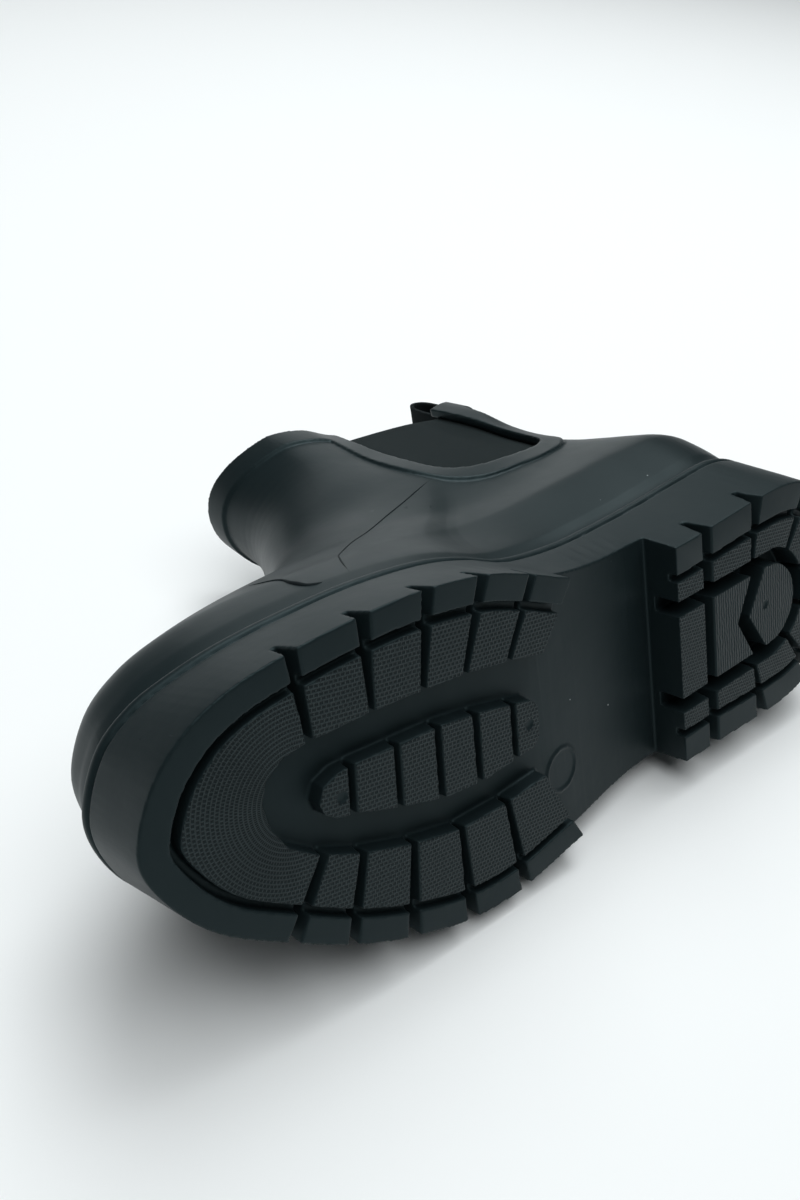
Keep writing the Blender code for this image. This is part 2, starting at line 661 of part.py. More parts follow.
def make_loop(parts):
    """Webbing folded over the back of the collar: a leg on each face of the wall, and a slack loop above."""
    grid, out = upper_grid()
    leg_in = -(WALL + GAP + LOOP_THICK / 2)
    leg_out = BAND_STEP + GAP + LOOP_THICK / 2
    middle = (leg_in + leg_out) / 2
    line = [(leg_in, -LOOP_LEG), (leg_in, -LOOP_LEG / 2), (leg_in, 0.0)]
    line += [(middle + d * LOOP_BULGE, h * LOOP_HEIGHT) for d, h in LOOP_LINE]
    line += [(leg_out, 0.0), (leg_out, -LOOP_LEG / 2), (leg_out, -LOOP_LEG)]
    line = np.array(line)
    ahead = np.gradient(line, axis=0)
    ahead /= np.linalg.norm(ahead, axis=1)[:, None]
    normal = np.stack([-ahead[:, 1], ahead[:, 0]], 1) * LOOP_THICK / 2
    profile = np.vstack([line + normal, (line - normal)[::-1]])
    top, below, away = grid[-1], grid[-3], out[-1]
    back = top[:, 0] < 0
    order = np.argsort(top[back][:, 1])
    place, under, away = top[back][order], below[back][order], away[back][order]
    start = place[:, 1].searchsorted(place[place[:, 0].argmin(), 1])
    length = np.concatenate([[0], np.cumsum(np.linalg.norm(np.diff(place, axis=0), axis=1))])
    spread = np.linspace(-0.5, 0.5, 7) * LOOP_WIDTH

    def along(table):
        return np.stack([np.interp(spread + length[start], length, table[:, k]) for k in range(3)], 1)

    at, facing = along(place), along(away)
    up = at - along(under)
    up /= np.linalg.norm(up, axis=1)[:, None]
    centre = len(spread) // 2
    run = at[-1] - at[0]
    straight = at[centre] + spread[:, None] * run / np.linalg.norm(run)
    sections = []
    for i in range(len(spread)):
        section = []
        for d, h in profile:
            flat = LOOP_FLAT * smooth(h / LOOP_HEIGHT * 3)
            base = at[i] + flat * (straight[i] - at[i])
            rise = up[i] + flat * (up[centre] + np.array((0, LOOP_LEAN, 0)) - up[i])
            out_way = facing[i] + flat * (facing[centre] - facing[i])
            out_way -= rise * (out_way @ rise)
            section.append(base + d * out_way / np.linalg.norm(out_way) + h * rise)
        sections.append(section)
    rings = np.array(sections)
    count, size = rings.shape[:2]
    faces = tube_faces(count, size, False)
    for base, turn in ((0, -1), ((count - 1) * size, 1)):
        for i in range(size // 2 - 1):
            faces.append(tuple(base + k for k in (i, i + 1, size - 2 - i, size - 1 - i))[::turn])
    return new_object("pull_loop", rings.reshape(-1, 3), faces, parts)


def paint(obj, colour, roughness):
    material = bpy.data.materials.new(obj.name)
    material.use_nodes = True
    shader = material.node_tree.nodes["Principled BSDF"]
    shader.inputs["Base Color"].default_value = (*colour, 1)
    shader.inputs["Roughness"].default_value = roughness
    shader.inputs["Metallic"].default_value = 0.0
    obj.data.materials.append(material)


def resting_matrix():
    """Turn that lays the boot on its outer side: on the lip at ball and heel, and the collar's front."""
    lip = np.column_stack([WELT[:, :2], WELT[:, 2] - LIP_HEIGHT])
    grid, out = upper_grid(FIRST_SHAFT_RING)
    shaft = (grid + out * BAND_STEP)[-5:].reshape(-1, 3)
    groups = [lip[lip[:, 0] > 30], lip[lip[:, 0] < 0], shaft[shaft[:, 0] > GORE_EDGE[0][0]]]
    up = np.array([0.0, 1.0, -0.27])
    for _ in range(8):
        low = [group[(group @ up).argmin()] for group in groups]
        up = np.cross(low[1] - low[0], low[2] - low[0])
        up *= np.sign(up[1]) / np.linalg.norm(up)
    across = np.array([-1.0, 0.0, 0.0])
    across -= up * (across @ up)
    across /= np.linalg.norm(across)
    return np.array([across, np.cross(up, across), up])


def lay_down(root, parts):
    """Turns the root, then moves it so that the boot's box stands on the origin."""
    turn = resting_matrix()
    root.matrix_world = Matrix(turn.tolist()).to_4x4()
    bpy.context.view_layer.update()
    graph = bpy.context.evaluated_depsgraph_get()
    corners = []
    for obj in parts.objects:
        if obj.type == "MESH":
            mesh = obj.evaluated_get(graph).to_mesh()
            corners += [root.matrix_world @ vertex.co for vertex in mesh.vertices]
    corners = np.array(corners)
    low, high = corners.min(0), corners.max(0)
    root.location = (-(low[0] + high[0]) / 2, -(low[1] + high[1]) / 2, -low[2])


def main():
    for obj in list(bpy.data.objects):
        bpy.data.objects.remove(obj)
    parts = bpy.data.collections.new("rain_boot")
    cutters = bpy.data.collections.new("cutters")
    bpy.context.scene.collection.children.link(parts)
    bpy.context.scene.collection.children.link(cutters)
    black = (0.028, 0.036, 0.038)
    paint(make_outsole(parts, cutters), black, 0.5)
    paint(make_upper(parts, cutters), black, 0.38)
    for gore in make_gores(parts, cutters):
        paint(gore, (0.014, 0.018, 0.019), 0.9)
    paint(make_loop(parts), (0.008, 0.009, 0.01), 0.9)
    paint(make_insole(parts), (0.02, 0.02, 0.021), 0.85)
    root = bpy.data.objects.new("boot_frame", None)
    parts.objects.link(root)
    for obj in parts.objects:
        if obj is not root:
            obj.parent = root
    for obj in cutters.objects:
        obj.parent = root
        obj.hide_render = True
        obj.display_type = "WIRE"
    lay_down(root, parts)


main()
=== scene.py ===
"""Looks of a right ankle rain boot that lies on its outer side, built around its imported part.

The boot is worked out in its own frame in millimetres: x to the toe, y to the inner side, z up from
the tread, with the origin under the front edge of the heel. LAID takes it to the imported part's frame,
in metres.
"""

import json
import math

import bmesh
import bpy
import numpy as np
from mathutils import Matrix, Vector
from mathutils.bvhtree import BVHTree

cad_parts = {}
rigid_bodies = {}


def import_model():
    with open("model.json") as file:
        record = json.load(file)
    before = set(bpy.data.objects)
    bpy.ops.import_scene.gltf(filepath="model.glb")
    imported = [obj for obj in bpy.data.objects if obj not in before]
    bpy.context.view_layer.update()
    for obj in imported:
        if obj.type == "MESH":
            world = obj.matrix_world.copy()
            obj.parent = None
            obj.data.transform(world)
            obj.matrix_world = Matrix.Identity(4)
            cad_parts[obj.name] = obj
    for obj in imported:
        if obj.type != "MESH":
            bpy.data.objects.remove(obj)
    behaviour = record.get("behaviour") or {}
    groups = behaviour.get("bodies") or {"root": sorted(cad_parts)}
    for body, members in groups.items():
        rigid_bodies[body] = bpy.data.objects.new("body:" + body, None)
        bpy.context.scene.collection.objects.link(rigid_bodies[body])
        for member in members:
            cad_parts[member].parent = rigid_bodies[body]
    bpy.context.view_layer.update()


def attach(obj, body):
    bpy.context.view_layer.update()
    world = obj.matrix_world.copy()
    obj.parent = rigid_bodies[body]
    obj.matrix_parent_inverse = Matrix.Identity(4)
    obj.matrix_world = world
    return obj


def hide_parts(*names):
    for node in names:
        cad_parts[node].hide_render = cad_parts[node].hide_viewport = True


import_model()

MM = 0.001
GAP = 0.3
LAID = (
    (-0.999397, -0.033393, 0.009522, 0.042096),
    (0.0, 0.274222, 0.961666, -0.090872),
    (-0.034724, 0.961086, -0.274057, 0.046758),
)

# Upper
WALL = 2.2
SKIRT = 2.4
RING_SIDE = 90
ROWS_PER_RING = 6
OVAL_POWER = 2.2
BACK_SQUARE = 0.15
WELT_LOW = 29.6
FOOT_HEEL_HALF = 39.6
FOOT_FORE_HALF = 47.6
BLEND_START = 0.3
BLEND_LENGTH = 0.35
SEAT_START = 0.6
NOSE_START = 0.62
NOSE_LENGTH = 0.2
TAIL_LENGTH = 0.25
PINCH_START = 0.03
PINCH_END = 0.56
PINCH_RAMP = 0.14

# Collar band and gore frames
BAND_STEP = 1.1
BAND_ROOT = 0.5
BAND_LIFT = 0.5
BAND_DEPTH = 12.0
FRAME_WIDTH = 8.5
FIRST_SHAFT_RING = 4
BAND_STATIONS = 15

# How far the outlines that cut the upper reach past it
PAST_ENDS = 100.0
PAST_OUTER = -120.0
PAST_INNER = 140.0
PAST_TOP = 260.0

# Gores
GORE_THICK = 1.4
GORE_MARGIN = 4.5
GORE_TOP = 155.5
SHAFT_MIDDLE_Y = 21.0

# Sole
LIP_WIDTH = 1.9
LIP_HEIGHT = 2.7
TOE_SPRING = 7.0
SPRING_START = 105.0
TOE_X = 180.0
CUT_BELOW = -3.0
FORE_DEPTH = 5.0
BREAST_DEPTH = 12.4
WAIST_END = 62.0
CHANNEL_ENDS = (-10.0, 190.0)
CHANNEL_STATIONS = 161
CHANNEL_HALF = 80.0
CHANNEL_TOP = 40.0
ISLAND_TOP = 50.0
GROOVE_DEPTH = 4.7
NOTCH_HEIGHT = 9.0
GROOVE_NARROWING = 0.3
RIM_WIDTH = 7.5
RIM_GROOVE = 2.3
RIM_GROOVE_DEPTH = 2.8
RIM_GROOVE_START = 46.0
HEEL_DEPTH = 9.3
HEEL_RIM = 9.0
HEEL_RIM_GROOVE = 2.5
HEEL_RIM_DEPTH = 3.3
HEEL_RIM_END = 4.0
D_CENTRE = -46.2
D_RADIUS = 14.0
HEEL_CHANNEL = 5.2
HEEL_CHANNEL_LESS = 0.2
HEEL_CHEVRON_LESS = 0.4
HEEL_INSIDE_LESS = 1.0
HEEL_CROSS_HALF = 50.0
HEEL_FRONT = 12.0
HEEL_RADIAL_ANGLES = (124.0, 160.0)
HEEL_RADIAL_WIDTHS = (2.6, 5.6)
HEEL_RADIAL_END = 38.0

# How far the grooves are drawn out past their rim and inner ends
FORE_REACH = (9.0, 2.5)
ISLAND_REACH = (2.5, 2.5)
HEEL_SLANT_REACH = (9.0, 1.5)
HEEL_RADIAL_REACH = (14.0, 1.5)

# Insole and pull loop
INSOLE_THICK = 3.0
INSOLE_PLAY = 0.6
INSOLE_EDGE = 1.0
LOOP_WIDTH = 25.0
LOOP_THICK = 1.5
LOOP_HEIGHT = 26.5
LOOP_LEAN = 0.16
LOOP_LEG = 13.0
LOOP_BULGE = 4.6
LOOP_FLAT = 0.9
LOOP_FLAT_RATE = 3.0
LOOP_STATIONS = 25

# How finely the moulded pieces are worked: size of the even faces, passes of rounding, most triangles kept
SOLE_FACE = 0.4
UPPER_FACE = 0.55
ROUNDING = 3
MOST_TRIANGLES = 190000

# Sole outline, from the back of the heel along the inner side to the toe and back along the outer side.
# tread x, tread y, welt x, welt y, welt z
OUTLINE = [
    (-90.0, 0.0, -94.5, 0.0, 33.6),
    (-84.8, 20.3, -89.0, 20.9, 33.6),
    (-72.5, 33.3, -76.4, 34.8, 33.6),
    (-58.0, 38.3, -60.4, 40.9, 33.6),
    (-40.0, 38.7, -41.0, 40.6, 33.5),
    (-18.0, 37.6, -18.0, 39.3, 33.0),
    (0.0, 37.0, 0.0, 39.0, 32.4),
    (22.0, 39.0, 21.0, 39.6, 31.5),
    (44.0, 44.3, 43.0, 43.2, 30.4),
    (60.0, 51.4, 60.0, 50.2, 29.8),
    (76.0, 57.2, 76.0, 54.6, 29.6),
    (98.0, 61.0, 98.0, 57.2, 29.6),
    (120.0, 61.6, 120.0, 57.4, 29.6),
    (138.0, 60.2, 138.0, 56.2, 30.2),
    (152.0, 57.4, 151.5, 53.6, 31.2),
    (164.0, 51.4, 163.5, 49.3, 32.6),
    (174.2, 40.5, 173.8, 41.0, 33.6),
    (179.9, 25.5, 180.5, 25.5, 34.2),
    (175.5, 11.5, 177.2, 10.0, 34.0),
    (166.0, -1.4, 168.0, -1.4, 33.1),
    (151.0, -12.4, 152.0, -10.4, 31.6),
    (133.0, -24.0, 133.5, -20.4, 30.4),
    (115.0, -32.6, 115.0, -28.8, 29.8),
    (95.0, -39.2, 95.0, -35.8, 29.6),
    (75.0, -40.8, 75.0, -37.8, 29.6),
    (50.0, -37.4, 50.0, -37.6, 30.2),
    (25.0, -36.2, 25.0, -38.0, 31.4),
    (0.0, -37.0, 0.0, -39.0, 32.4),
    (-18.0, -37.6, -18.0, -39.3, 33.0),
    (-40.0, -38.7, -41.0, -40.6, 33.5),
    (-58.0, -38.3, -60.4, -40.9, 33.6),
    (-72.5, -33.3, -76.4, -34.8, 33.6),
    (-84.8, -20.3, -89.0, -20.9, 33.6),
]

# Rings of the upper, from the welt to the collar. Seat is how far a ring follows the welt's rise, oval how
# far it has turned from the foot's outline to the shaft's, nose y and tail y how far its front and back
# ends lie to the inner side, and pinch how far the gore draws the inner side in.
# front x, z, back x, z, side z, fore half, heel half, fore y, heel y, seat, oval, nose y, pinch, tail y
RINGS = [
    (178.0, 34.2, -92.2, 33.6, 29.6, 45.4, 37.4, 0.0, 0.0, 1.0, 0.0, 0.0, 0.0, 0.0),
    (176.9, 40.5, -95.2, 41.0, 37.0, 44.9, 38.0, 0.9, 1.4, 0.6, 0.0, 0.0, 0.0, 0.0),
    (173.8, 50.0, -96.4, 52.0, 47.0, 43.0, 37.8, 1.7, 4.0, 0.25, 0.0, 0.0, 0.0, 0.0),
    (165.4, 58.0, -96.0, 63.0, 56.0, 40.4, 37.4, 2.8, 6.2, 0.0, 0.05, 0.0, 0.0, 0.0),
    (149.5, 65.0, -92.8, 74.0, 64.0, 37.4, 36.0, 5.2, 8.0, 0.0, 0.15, 0.0, 0.0, 0.0),
    (127.5, 73.0, -87.2, 86.0, 72.5, 35.0, 34.2, 7.0, 10.2, 0.0, 0.3, 0.0, 0.0, 0.0),
    (104.5, 83.0, -80.0, 98.0, 82.5, 34.0, 32.8, 9.8, 12.6, 0.0, 0.5, 0.0, 0.0, 0.3),
    (85.5, 97.0, -73.2, 111.0, 94.5, 33.4, 32.0, 13.4, 15.2, 0.0, 0.7, 0.5, 0.0, 1.2),
    (70.0, 117.0, -68.0, 127.0, 110.5, 32.0, 30.5, 18.5, 18.2, 0.0, 0.85, 2.5, 1.0, 4.2),
    (57.6, 143.0, -65.2, 144.0, 131.0, 30.6, 29.4, 23.5, 22.0, 0.0, 1.0, 5.0, 3.0, 7.0),
    (54.0, 174.0, -64.0, 161.0, 156.0, 30.0, 29.6, 27.5, 26.5, 0.0, 1.0, 6.0, 5.5, 1.8),
]

# Edge of a gore opening in the side view, from the front of the collar down and round to the back: x, z
GORE_EDGE = [
    (3.0, 165.0),
    (5.0, 148.0),
    (8.0, 124.0),
    (7.0, 108.0),
    (2.0, 97.0),
    (-7.0, 91.5),
    (-20.0, 90.0),
    (-34.0, 91.0),
    (-43.5, 95.0),
    (-47.5, 103.0),
    (-48.0, 130.0),
    (-46.0, 165.0),
]

# Grooves between the forefoot lugs, each by its front and rear edge from the rim inwards.
# front rim x, y, front inner x, y, rear rim x, y, rear inner x, y
FORE_GROOVES = [
    (137.1, 59.6, 136.2, 36.8, 132.7, 61.0, 133.0, 36.8),
    (116.9, 61.6, 117.6, 36.5, 111.8, 61.7, 115.2, 36.2),
    (96.7, 60.9, 101.5, 35.3, 91.7, 60.5, 99.0, 34.7),
    (78.1, 58.0, 87.5, 33.4, 73.8, 56.6, 85.1, 32.9),
    (60.2, 51.7, 72.1, 30.6, 57.4, 50.2, 69.7, 30.0),
    (151.0, -12.0, 138.1, 6.7, 147.2, -15.5, 134.8, 5.0),
    (135.3, -22.4, 127.3, 1.2, 131.6, -24.9, 124.0, -0.1),
    (117.6, -31.5, 111.8, -4.9, 112.6, -33.1, 108.8, -5.7),
    (97.3, -38.5, 95.7, -9.2, 92.4, -40.6, 92.8, -9.8),
    (76.3, -40.8, 78.5, -10.5, 71.8, -40.6, 75.7, -10.4),
]

# Grooves across the island: front top x, y, front bottom x, y, rear top x, y, rear bottom x, y
ISLAND_GROOVES = [
    (126.4, 25.2, 128.1, 12.4, 123.4, 25.5, 125.1, 11.9),
    (112.2, 25.0, 113.9, 8.2, 109.7, 24.4, 111.4, 6.5),
    (99.1, 23.1, 100.8, 3.3, 96.0, 23.1, 97.7, 2.1),
    (86.1, 21.3, 87.3, 0.6, 82.9, 20.6, 84.3, 0.3),
    (72.6, 18.3, 73.7, 0.0, 69.8, 17.2, 70.8, 0.0),
]

# Outline of the island: x, y
ISLAND = [
    (135.4, 19.5),
    (133.6, 23.4),
    (129.0, 25.3),
    (123.4, 25.5),
    (109.7, 24.4),
    (96.0, 23.1),
    (82.9, 20.6),
    (69.8, 17.2),
    (64.6, 15.7),
    (62.0, 13.0),
    (62.6, 3.6),
    (65.2, 1.0),
    (84.3, 0.3),
    (97.7, 2.1),
    (111.4, 6.5),
    (125.1, 11.9),
    (131.5, 13.6),
    (134.6, 16.2),
]

# Outline of the smooth channel and waist, from the heel's front edge along the inner side and back: x, y
CHANNEL = [
    (0.0, 60.0),
    (44.6, 60.0),
    (45.2, 43.4),
    (58.0, 27.0),
    (69.0, 29.9),
    (86.0, 33.2),
    (100.0, 35.0),
    (117.0, 36.4),
    (134.0, 36.8),
    (142.0, 35.8),
    (147.4, 32.0),
    (149.4, 26.5),
    (148.6, 19.0),
    (145.2, 12.4),
    (138.0, 6.6),
    (126.0, 0.6),
    (110.0, -5.3),
    (94.0, -9.6),
    (77.0, -10.5),
    (61.8, -9.8),
    (54.3, -27.0),
    (49.5, -36.6),
    (48.0, -60.0),
    (0.0, -60.0),
]

# Gap between the two middle lugs of the heel: x, y
HEEL_CHEVRON = [
    (-37.1, 14.6),
    (-29.3, 0.0),
    (-37.4, -14.6),
    (-44.6, -14.9),
    (-35.3, 0.0),
    (-44.6, 14.9),
]
HEEL_CROSS = (-12.1, -17.8)
HEEL_SLANT_INNER = (-36.8, -38.9, 19.0)
HEEL_SLANT_OUTER = (-37.8, -44.2, 38.4)

# Middle line of the pull loop: distance out from the wall's outer face, height above the collar edge
# in parts of the bulge and of the loop's height
LOOP_LINE = [
    (-0.5, 0.12),
    (-0.95, 0.4),
    (-1.0, 0.68),
    (-0.75, 0.9),
    (0.0, 1.0),
    (0.75, 0.9),
    (1.0, 0.68),
    (0.95, 0.4),
    (0.5, 0.12),
]

# Bead and crease at the top of the sole's wall: distance in from the welt, height from the welt
LIP_PROFILE = [
    (0.3, -4.6),
    (0.35, -4.2),
    (1.5, -3.6),
    (1.4, -3.3),
    (0.3, -2.8),
    (0.0, -2.0),
    (0.0, -1.3),
    (0.2, -0.5),
    (0.75, 0.0),
]

# Soft edge of the upper, about 20 mm above the welt: x, z
SHOULDER = [
    (-100.0, 57.0),
    (-60.0, 57.2),
    (-40.0, 59.0),
    (-20.0, 59.2),
    (0.0, 58.8),
    (16.0, 59.3),
    (34.0, 59.4),
    (60.0, 55.6),
    (80.0, 52.4),
    (95.0, 50.2),
    (108.0, 50.4),
    (125.0, 52.0),
    (150.0, 52.0),
    (200.0, 52.0),
]
SHOULDER_STEP = 0.9
SHOULDER_ABOVE = 14.0
SHOULDER_BELOW = 9.0
SHOULDER_RADIUS = 1.5
SHOULDER_TURN = 0.5

# Line down the middle of the foot that tells the upper's outer face from its inner one
CORE_ENDS = (-45.0, 130.0)
CORE_Y = 10.0
CORE_Z = 45.0

# Line between the upper and the bead: how deep it is and how far it reaches up
ROOT_DEPTH = 0.7
ROOT_HEIGHT = 1.5

# Mould seam below the gore, on the inner side: x, z
MOULD_SEAM = [
    (10.5, 94.0),
    (29.7, 85.3),
    (47.5, 77.2),
    (65.3, 67.0),
    (79.6, 56.2),
    (85.2, 48.6),
    (91.0, 36.8),
]
SEAM_RADIUS = 0.28
SEAM_TAPER = 8.0

# Beads of the seam and the flex mark: least radius, share sunk in, y that the rays start from
BEAD_LEAST = 0.03
BEAD_SINK = 0.3
BEAD_FROM = 200.0

# Flex mark on the inner side behind the toe, from the soft edge down to the welt: x, z, half width
FLEX_MARK = [
    (109.0, 60.0, 0.05),
    (107.4, 55.4, 0.35),
    (105.2, 48.5, 0.45),
    (105.2, 44.5, 0.75),
    (104.8, 41.4, 0.95),
    (104.0, 38.4, 0.7),
    (102.0, 37.0, 0.5),
    (100.2, 36.6, 0.1),
]

# Round mark on the waist, and the dimples in two lugs of the island and in the heel: x, y, radius
SIZE_RING = (50.0, -16.0, 6.7)
RING_THICK = 0.55
LUG_DIMPLES = [
    (129.2, 18.6, 1.7),
    (66.2, 8.8, 1.6),
    (-44.0, 1.0, 1.6),
]
DIMPLE_DEPTH = 0.5

# Texture of the lugs: margin to the tread's edge, where it starts and ends, level and facing
PIT_EDGE = 9.6
HEEL_PIT_EDGE = 11.3
FORE_PITS_START = 40.0
HEEL_PITS_END = 6.0
RIPPLES_END = -17.0
PIT_LEVEL = 0.2
PIT_FACING = -0.9
SPINE_START = (60.0, 10.0)
SPINE_END = (140.0, 24.0)
PIT_LENGTH = 1.35
PIT_ROW = 1.15
PIT_TURN = 3.0
PIT_MORTAR = 0.032
PIT_BUMP = 0.0004

# Camera in the boot's own frame: place, then its directions to the right, down and ahead
CAMERA_PLACE = (259.19, 173.70, -206.58)
CAMERA_AXES = (
    (-0.7524, -0.1395, -0.6437),
    (0.3591, -0.9062, -0.2234),
    (-0.5521, -0.3993, 0.7319),
)
CAMERA_LENS = 35.6

# Colours
RUBBER = (0.0078, 0.0130, 0.0146)
TINT = (0.68, 0.95, 1.0)
DUST = (0.5, 0.53, 0.54)
# Painted shade in the lugs' pits and painted light on the ridges between them
PIT_PAINTED_SHADE_AND_LIGHT = ((0.006, 0.008, 0.009), (0.03, 0.039, 0.041))
# Painted shade in the heel ripples' troughs and painted light on their crests
RIPPLE_PAINTED_SHADE_AND_LIGHT = ((0.009, 0.012, 0.013), (0.028, 0.036, 0.038))
# Painted shade: the darker colour of the mould seam and flex mark beads, standing for their shadowed lines
LINE_PAINTED_SHADE = (0.004, 0.005, 0.006)
KNIT = (0.009, 0.0115, 0.012)
WEBBING = (0.005, 0.006, 0.0065)
FOOTBED = (0.02, 0.02, 0.021)
FLOOR = (0.87, 0.875, 0.876)
LIGHT = (0.955, 0.992, 1.0)

# Dust on the rubber: cells to a metre, share of a cell where a speck ends
SPECK_SCALE = 70.0
SPECK_EDGES = (0.012, 0.018)

# Grain of the rubber: scale of the noise, depth in metres
WIDE_GRAIN = (160.0, 0.0004)
FINE_GRAIN = (2600.0, 0.00006)

# Weave of the cloths: scale of the threads, depth in metres
KNIT_SCALE = 6.0
WEBBING_SCALE = 7.0
WEAVE_DEPTH = 0.0003

# Studio: floor's half side, strength of the sky
FLOOR_REACH = 8.0
SKY = 0.06

# name, place, target, size, watts
LIGHTS = [
    ("key", (0.9, 0.8, 2.1), (0.0, 0.0, 0.03), (1.6, 1.6), 33.0),
    ("overhead", (-0.1, -0.5, 2.2), (-0.1, -0.5, 0.0), (2.8, 2.8), 50.0),
    ("backdrop", (1.7, 2.7, 0.75), (0.0, 0.0, 0.05), (1.9, 1.35), 9.0),
]


def smooth(t):
    t = np.clip(t, 0.0, 1.0)
    return t * t * (3 - 2 * t)


def spline(a, b, c, d, t):
    """Point at t on the smooth stretch from b to c."""
    square = (2 * a - 5 * b + 4 * c - d) * t * t
    cube = (3 * b - a - 3 * c + d) * t**3
    return 0.5 * (2 * b + (c - a) * t + square + cube)


def closed_curve(rows, n):
    """A smooth closed curve through the rows, n points to each stretch."""
    p = np.asarray(rows, float)
    before, after, later = np.roll(p, 1, 0), np.roll(p, -1, 0), np.roll(p, -2, 0)
    steps = [spline(before, p, after, later, t) for t in np.arange(n) / n]
    return np.stack(steps, 1).reshape(-1, p.shape[1])


def open_curve(rows, n):
    """A smooth open curve through the rows, n points to each stretch and the last row."""
    p = np.asarray(rows, float)
    q = np.vstack([2 * p[0] - p[1], p, 2 * p[-1] - p[-2]])
    points = [spline(*q[i : i + 4], t) for i in range(len(p) - 1) for t in np.arange(n) / n]
    return np.array(points + [p[-1]])


def grown(points, distance):
    """A closed outline that runs clockwise, moved outwards by the distance in its first two columns."""
    ahead = np.roll(points, -1, 0)[:, :2] - np.roll(points, 1, 0)[:, :2]
    ahead /= np.linalg.norm(ahead, axis=1)[:, None]
    moved = points.copy()
    moved[:, 0] -= distance * ahead[:, 1]
    moved[:, 1] += distance * ahead[:, 0]
    return moved


def sides(points):
    """The inner and the outer side of a closed outline, each from heel to toe."""
    q = np.roll(points, -points[:, 0].argmin(), 0)
    toe = q[:, 0].argmax()
    return q[: toe + 1], np.vstack([q[toe:], q[:1]])[::-1]


def sampled(chain, s):
    """Rows of a side at the shares s of its length along x."""
    x = chain[0, 0] + (chain[-1, 0] - chain[0, 0]) * s
    columns = [np.interp(x, chain[:, 0], chain[:, k]) for k in range(1, chain.shape[1])]
    return np.stack([x] + columns, 1)


def shares(n):
    """Shares from 0 to 1, closer together at both ends, where an outline turns."""
    return (1 - np.cos(np.linspace(0, math.pi, n + 1))) / 2


def ring_of(inner, outer):
    """One closed ring from the two sides of an outline: heel to toe on the inner side, then back."""
    return np.vstack([inner, outer[-2:0:-1]])


DENSE = closed_curve(OUTLINE, 24)
TREAD = DENSE[:, :2]
WELT = DENSE[:, 2:]
WELT_INNER, WELT_OUTER = sides(WELT)
SEAT_INNER, SEAT_OUTER = sides(grown(WELT, -LIP_WIDTH - GAP))


def spring(x):
    """Height of the tread at x: flat from the heel to the ball, then rising to the toe."""
    return TOE_SPRING * np.clip((x - SPRING_START) / (TOE_X - SPRING_START), 0, None) ** 2


def upper_ring(row, n):
    """One ring of the upper's outer face."""
    front_x, front_z, back_x, back_z, side_z, fore, heel, fore_y, heel_y = row[:9]
    seat, oval, nose_y, pinch, tail_y = row[9:]
    s = shares(n)
    a, b = sampled(WELT_INNER, s), sampled(WELT_OUTER, s)
    width = (a[:, 1] - b[:, 1]) / 2
    t = smooth((s - BLEND_START) / BLEND_LENGTH)
    foot = width / (FOOT_HEEL_HALF + (FOOT_FORE_HALF - FOOT_HEEL_HALF) * t)
    power = np.where(s < 0.5, OVAL_POWER + BACK_SQUARE * pinch, OVAL_POWER)
    egg = (1 - np.abs(2 * s - 1) ** power).clip(0) ** (1 / power)
    half = (heel + (fore - heel) * t) * ((1 - oval) * foot + oval * egg)
    middle = (1 - oval) * (a[:, 1] + b[:, 1]) / 2 + heel_y + (fore_y - heel_y) * t
    middle += nose_y * smooth((s - NOSE_START) / NOSE_LENGTH) + tail_y * (1 - smooth(s / TAIL_LENGTH))
    drawn = pinch * smooth((s - PINCH_START) / PINCH_RAMP) * (1 - smooth((s - PINCH_END) / PINCH_RAMP))
    x = back_x + (front_x - back_x) * s
    to_front = np.clip(2 * s - 1, 0, 1) ** 2
    to_back = np.clip(1 - 2 * s, 0, 1) ** 2
    level = side_z + (front_z - side_z) * to_front + (back_z - side_z) * to_back
    z = level + seat * ((a[:, 2] + b[:, 2]) / 2 + side_z - WELT_LOW - level)
    inner = np.stack([x, middle + half - drawn, z], 1)
    outer = np.stack([x, middle - half, z], 1)
    hold = np.clip((seat - SEAT_START) / (1 - SEAT_START), 0, 1)
    for side, edge in ((inner, SEAT_INNER), (outer, SEAT_OUTER)):
        side[:, :2] += hold * (sampled(edge, s)[:, :2] - side[:, :2])
    return ring_of(inner, outer)


def upper_grid(first=0, n=RING_SIDE, per=ROWS_PER_RING):
    """Points of the upper's outer face by row and place in it, and the way out at each."""
    rows = open_curve(RINGS, per)
    grid = np.stack([upper_ring(row, n) for row in rows])
    grid = np.concatenate([grid[:1] - (0, 0, SKIRT), grid])
    along = np.gradient(grid, axis=0)
    round_ring = np.roll(grid, -1, 1) - np.roll(grid, 1, 1)
    out = np.cross(round_ring, along)
    out[:2, :, 2] = 0
    out /= np.linalg.norm(out, axis=2)[:, :, None]
    if (out * (grid - grid.mean(1)[:, None])).sum() < 0:
        out = -out
    start = first * per + 1 if first else 0
    return grid[start:], out[start:]


WORKSHOP = bpy.data.collections.new("workshop")
bpy.context.scene.collection.children.link(WORKSHOP)


def new_form(name, points, faces):
    """A form in millimetres to work with, its faces turned outwards."""
    mesh = bpy.data.meshes.new(name)
    mesh.from_pydata(np.asarray(points).tolist(), [], faces)
    mesh.update()
    mesh.calc_loop_triangles()
    corners = np.array([[mesh.vertices[i].co for i in t.vertices] for t in mesh.loop_triangles])
    if np.linalg.det(corners).sum() < 0:
        mesh.flip_normals()
    obj = bpy.data.objects.new(name, mesh)
    WORKSHOP.objects.link(obj)
    return obj


def tube_faces(count, size, looped):
    """Faces of a tube of rings, closed into a loop or left open at both ends."""
    faces = []
    for r in range(count if looped else count - 1):
        low, high = r * size, (r + 1) % count * size
        for i in range(size):
            j = (i + 1) % size
            faces.append((low + i, low + j, high + j, high + i))
    return faces


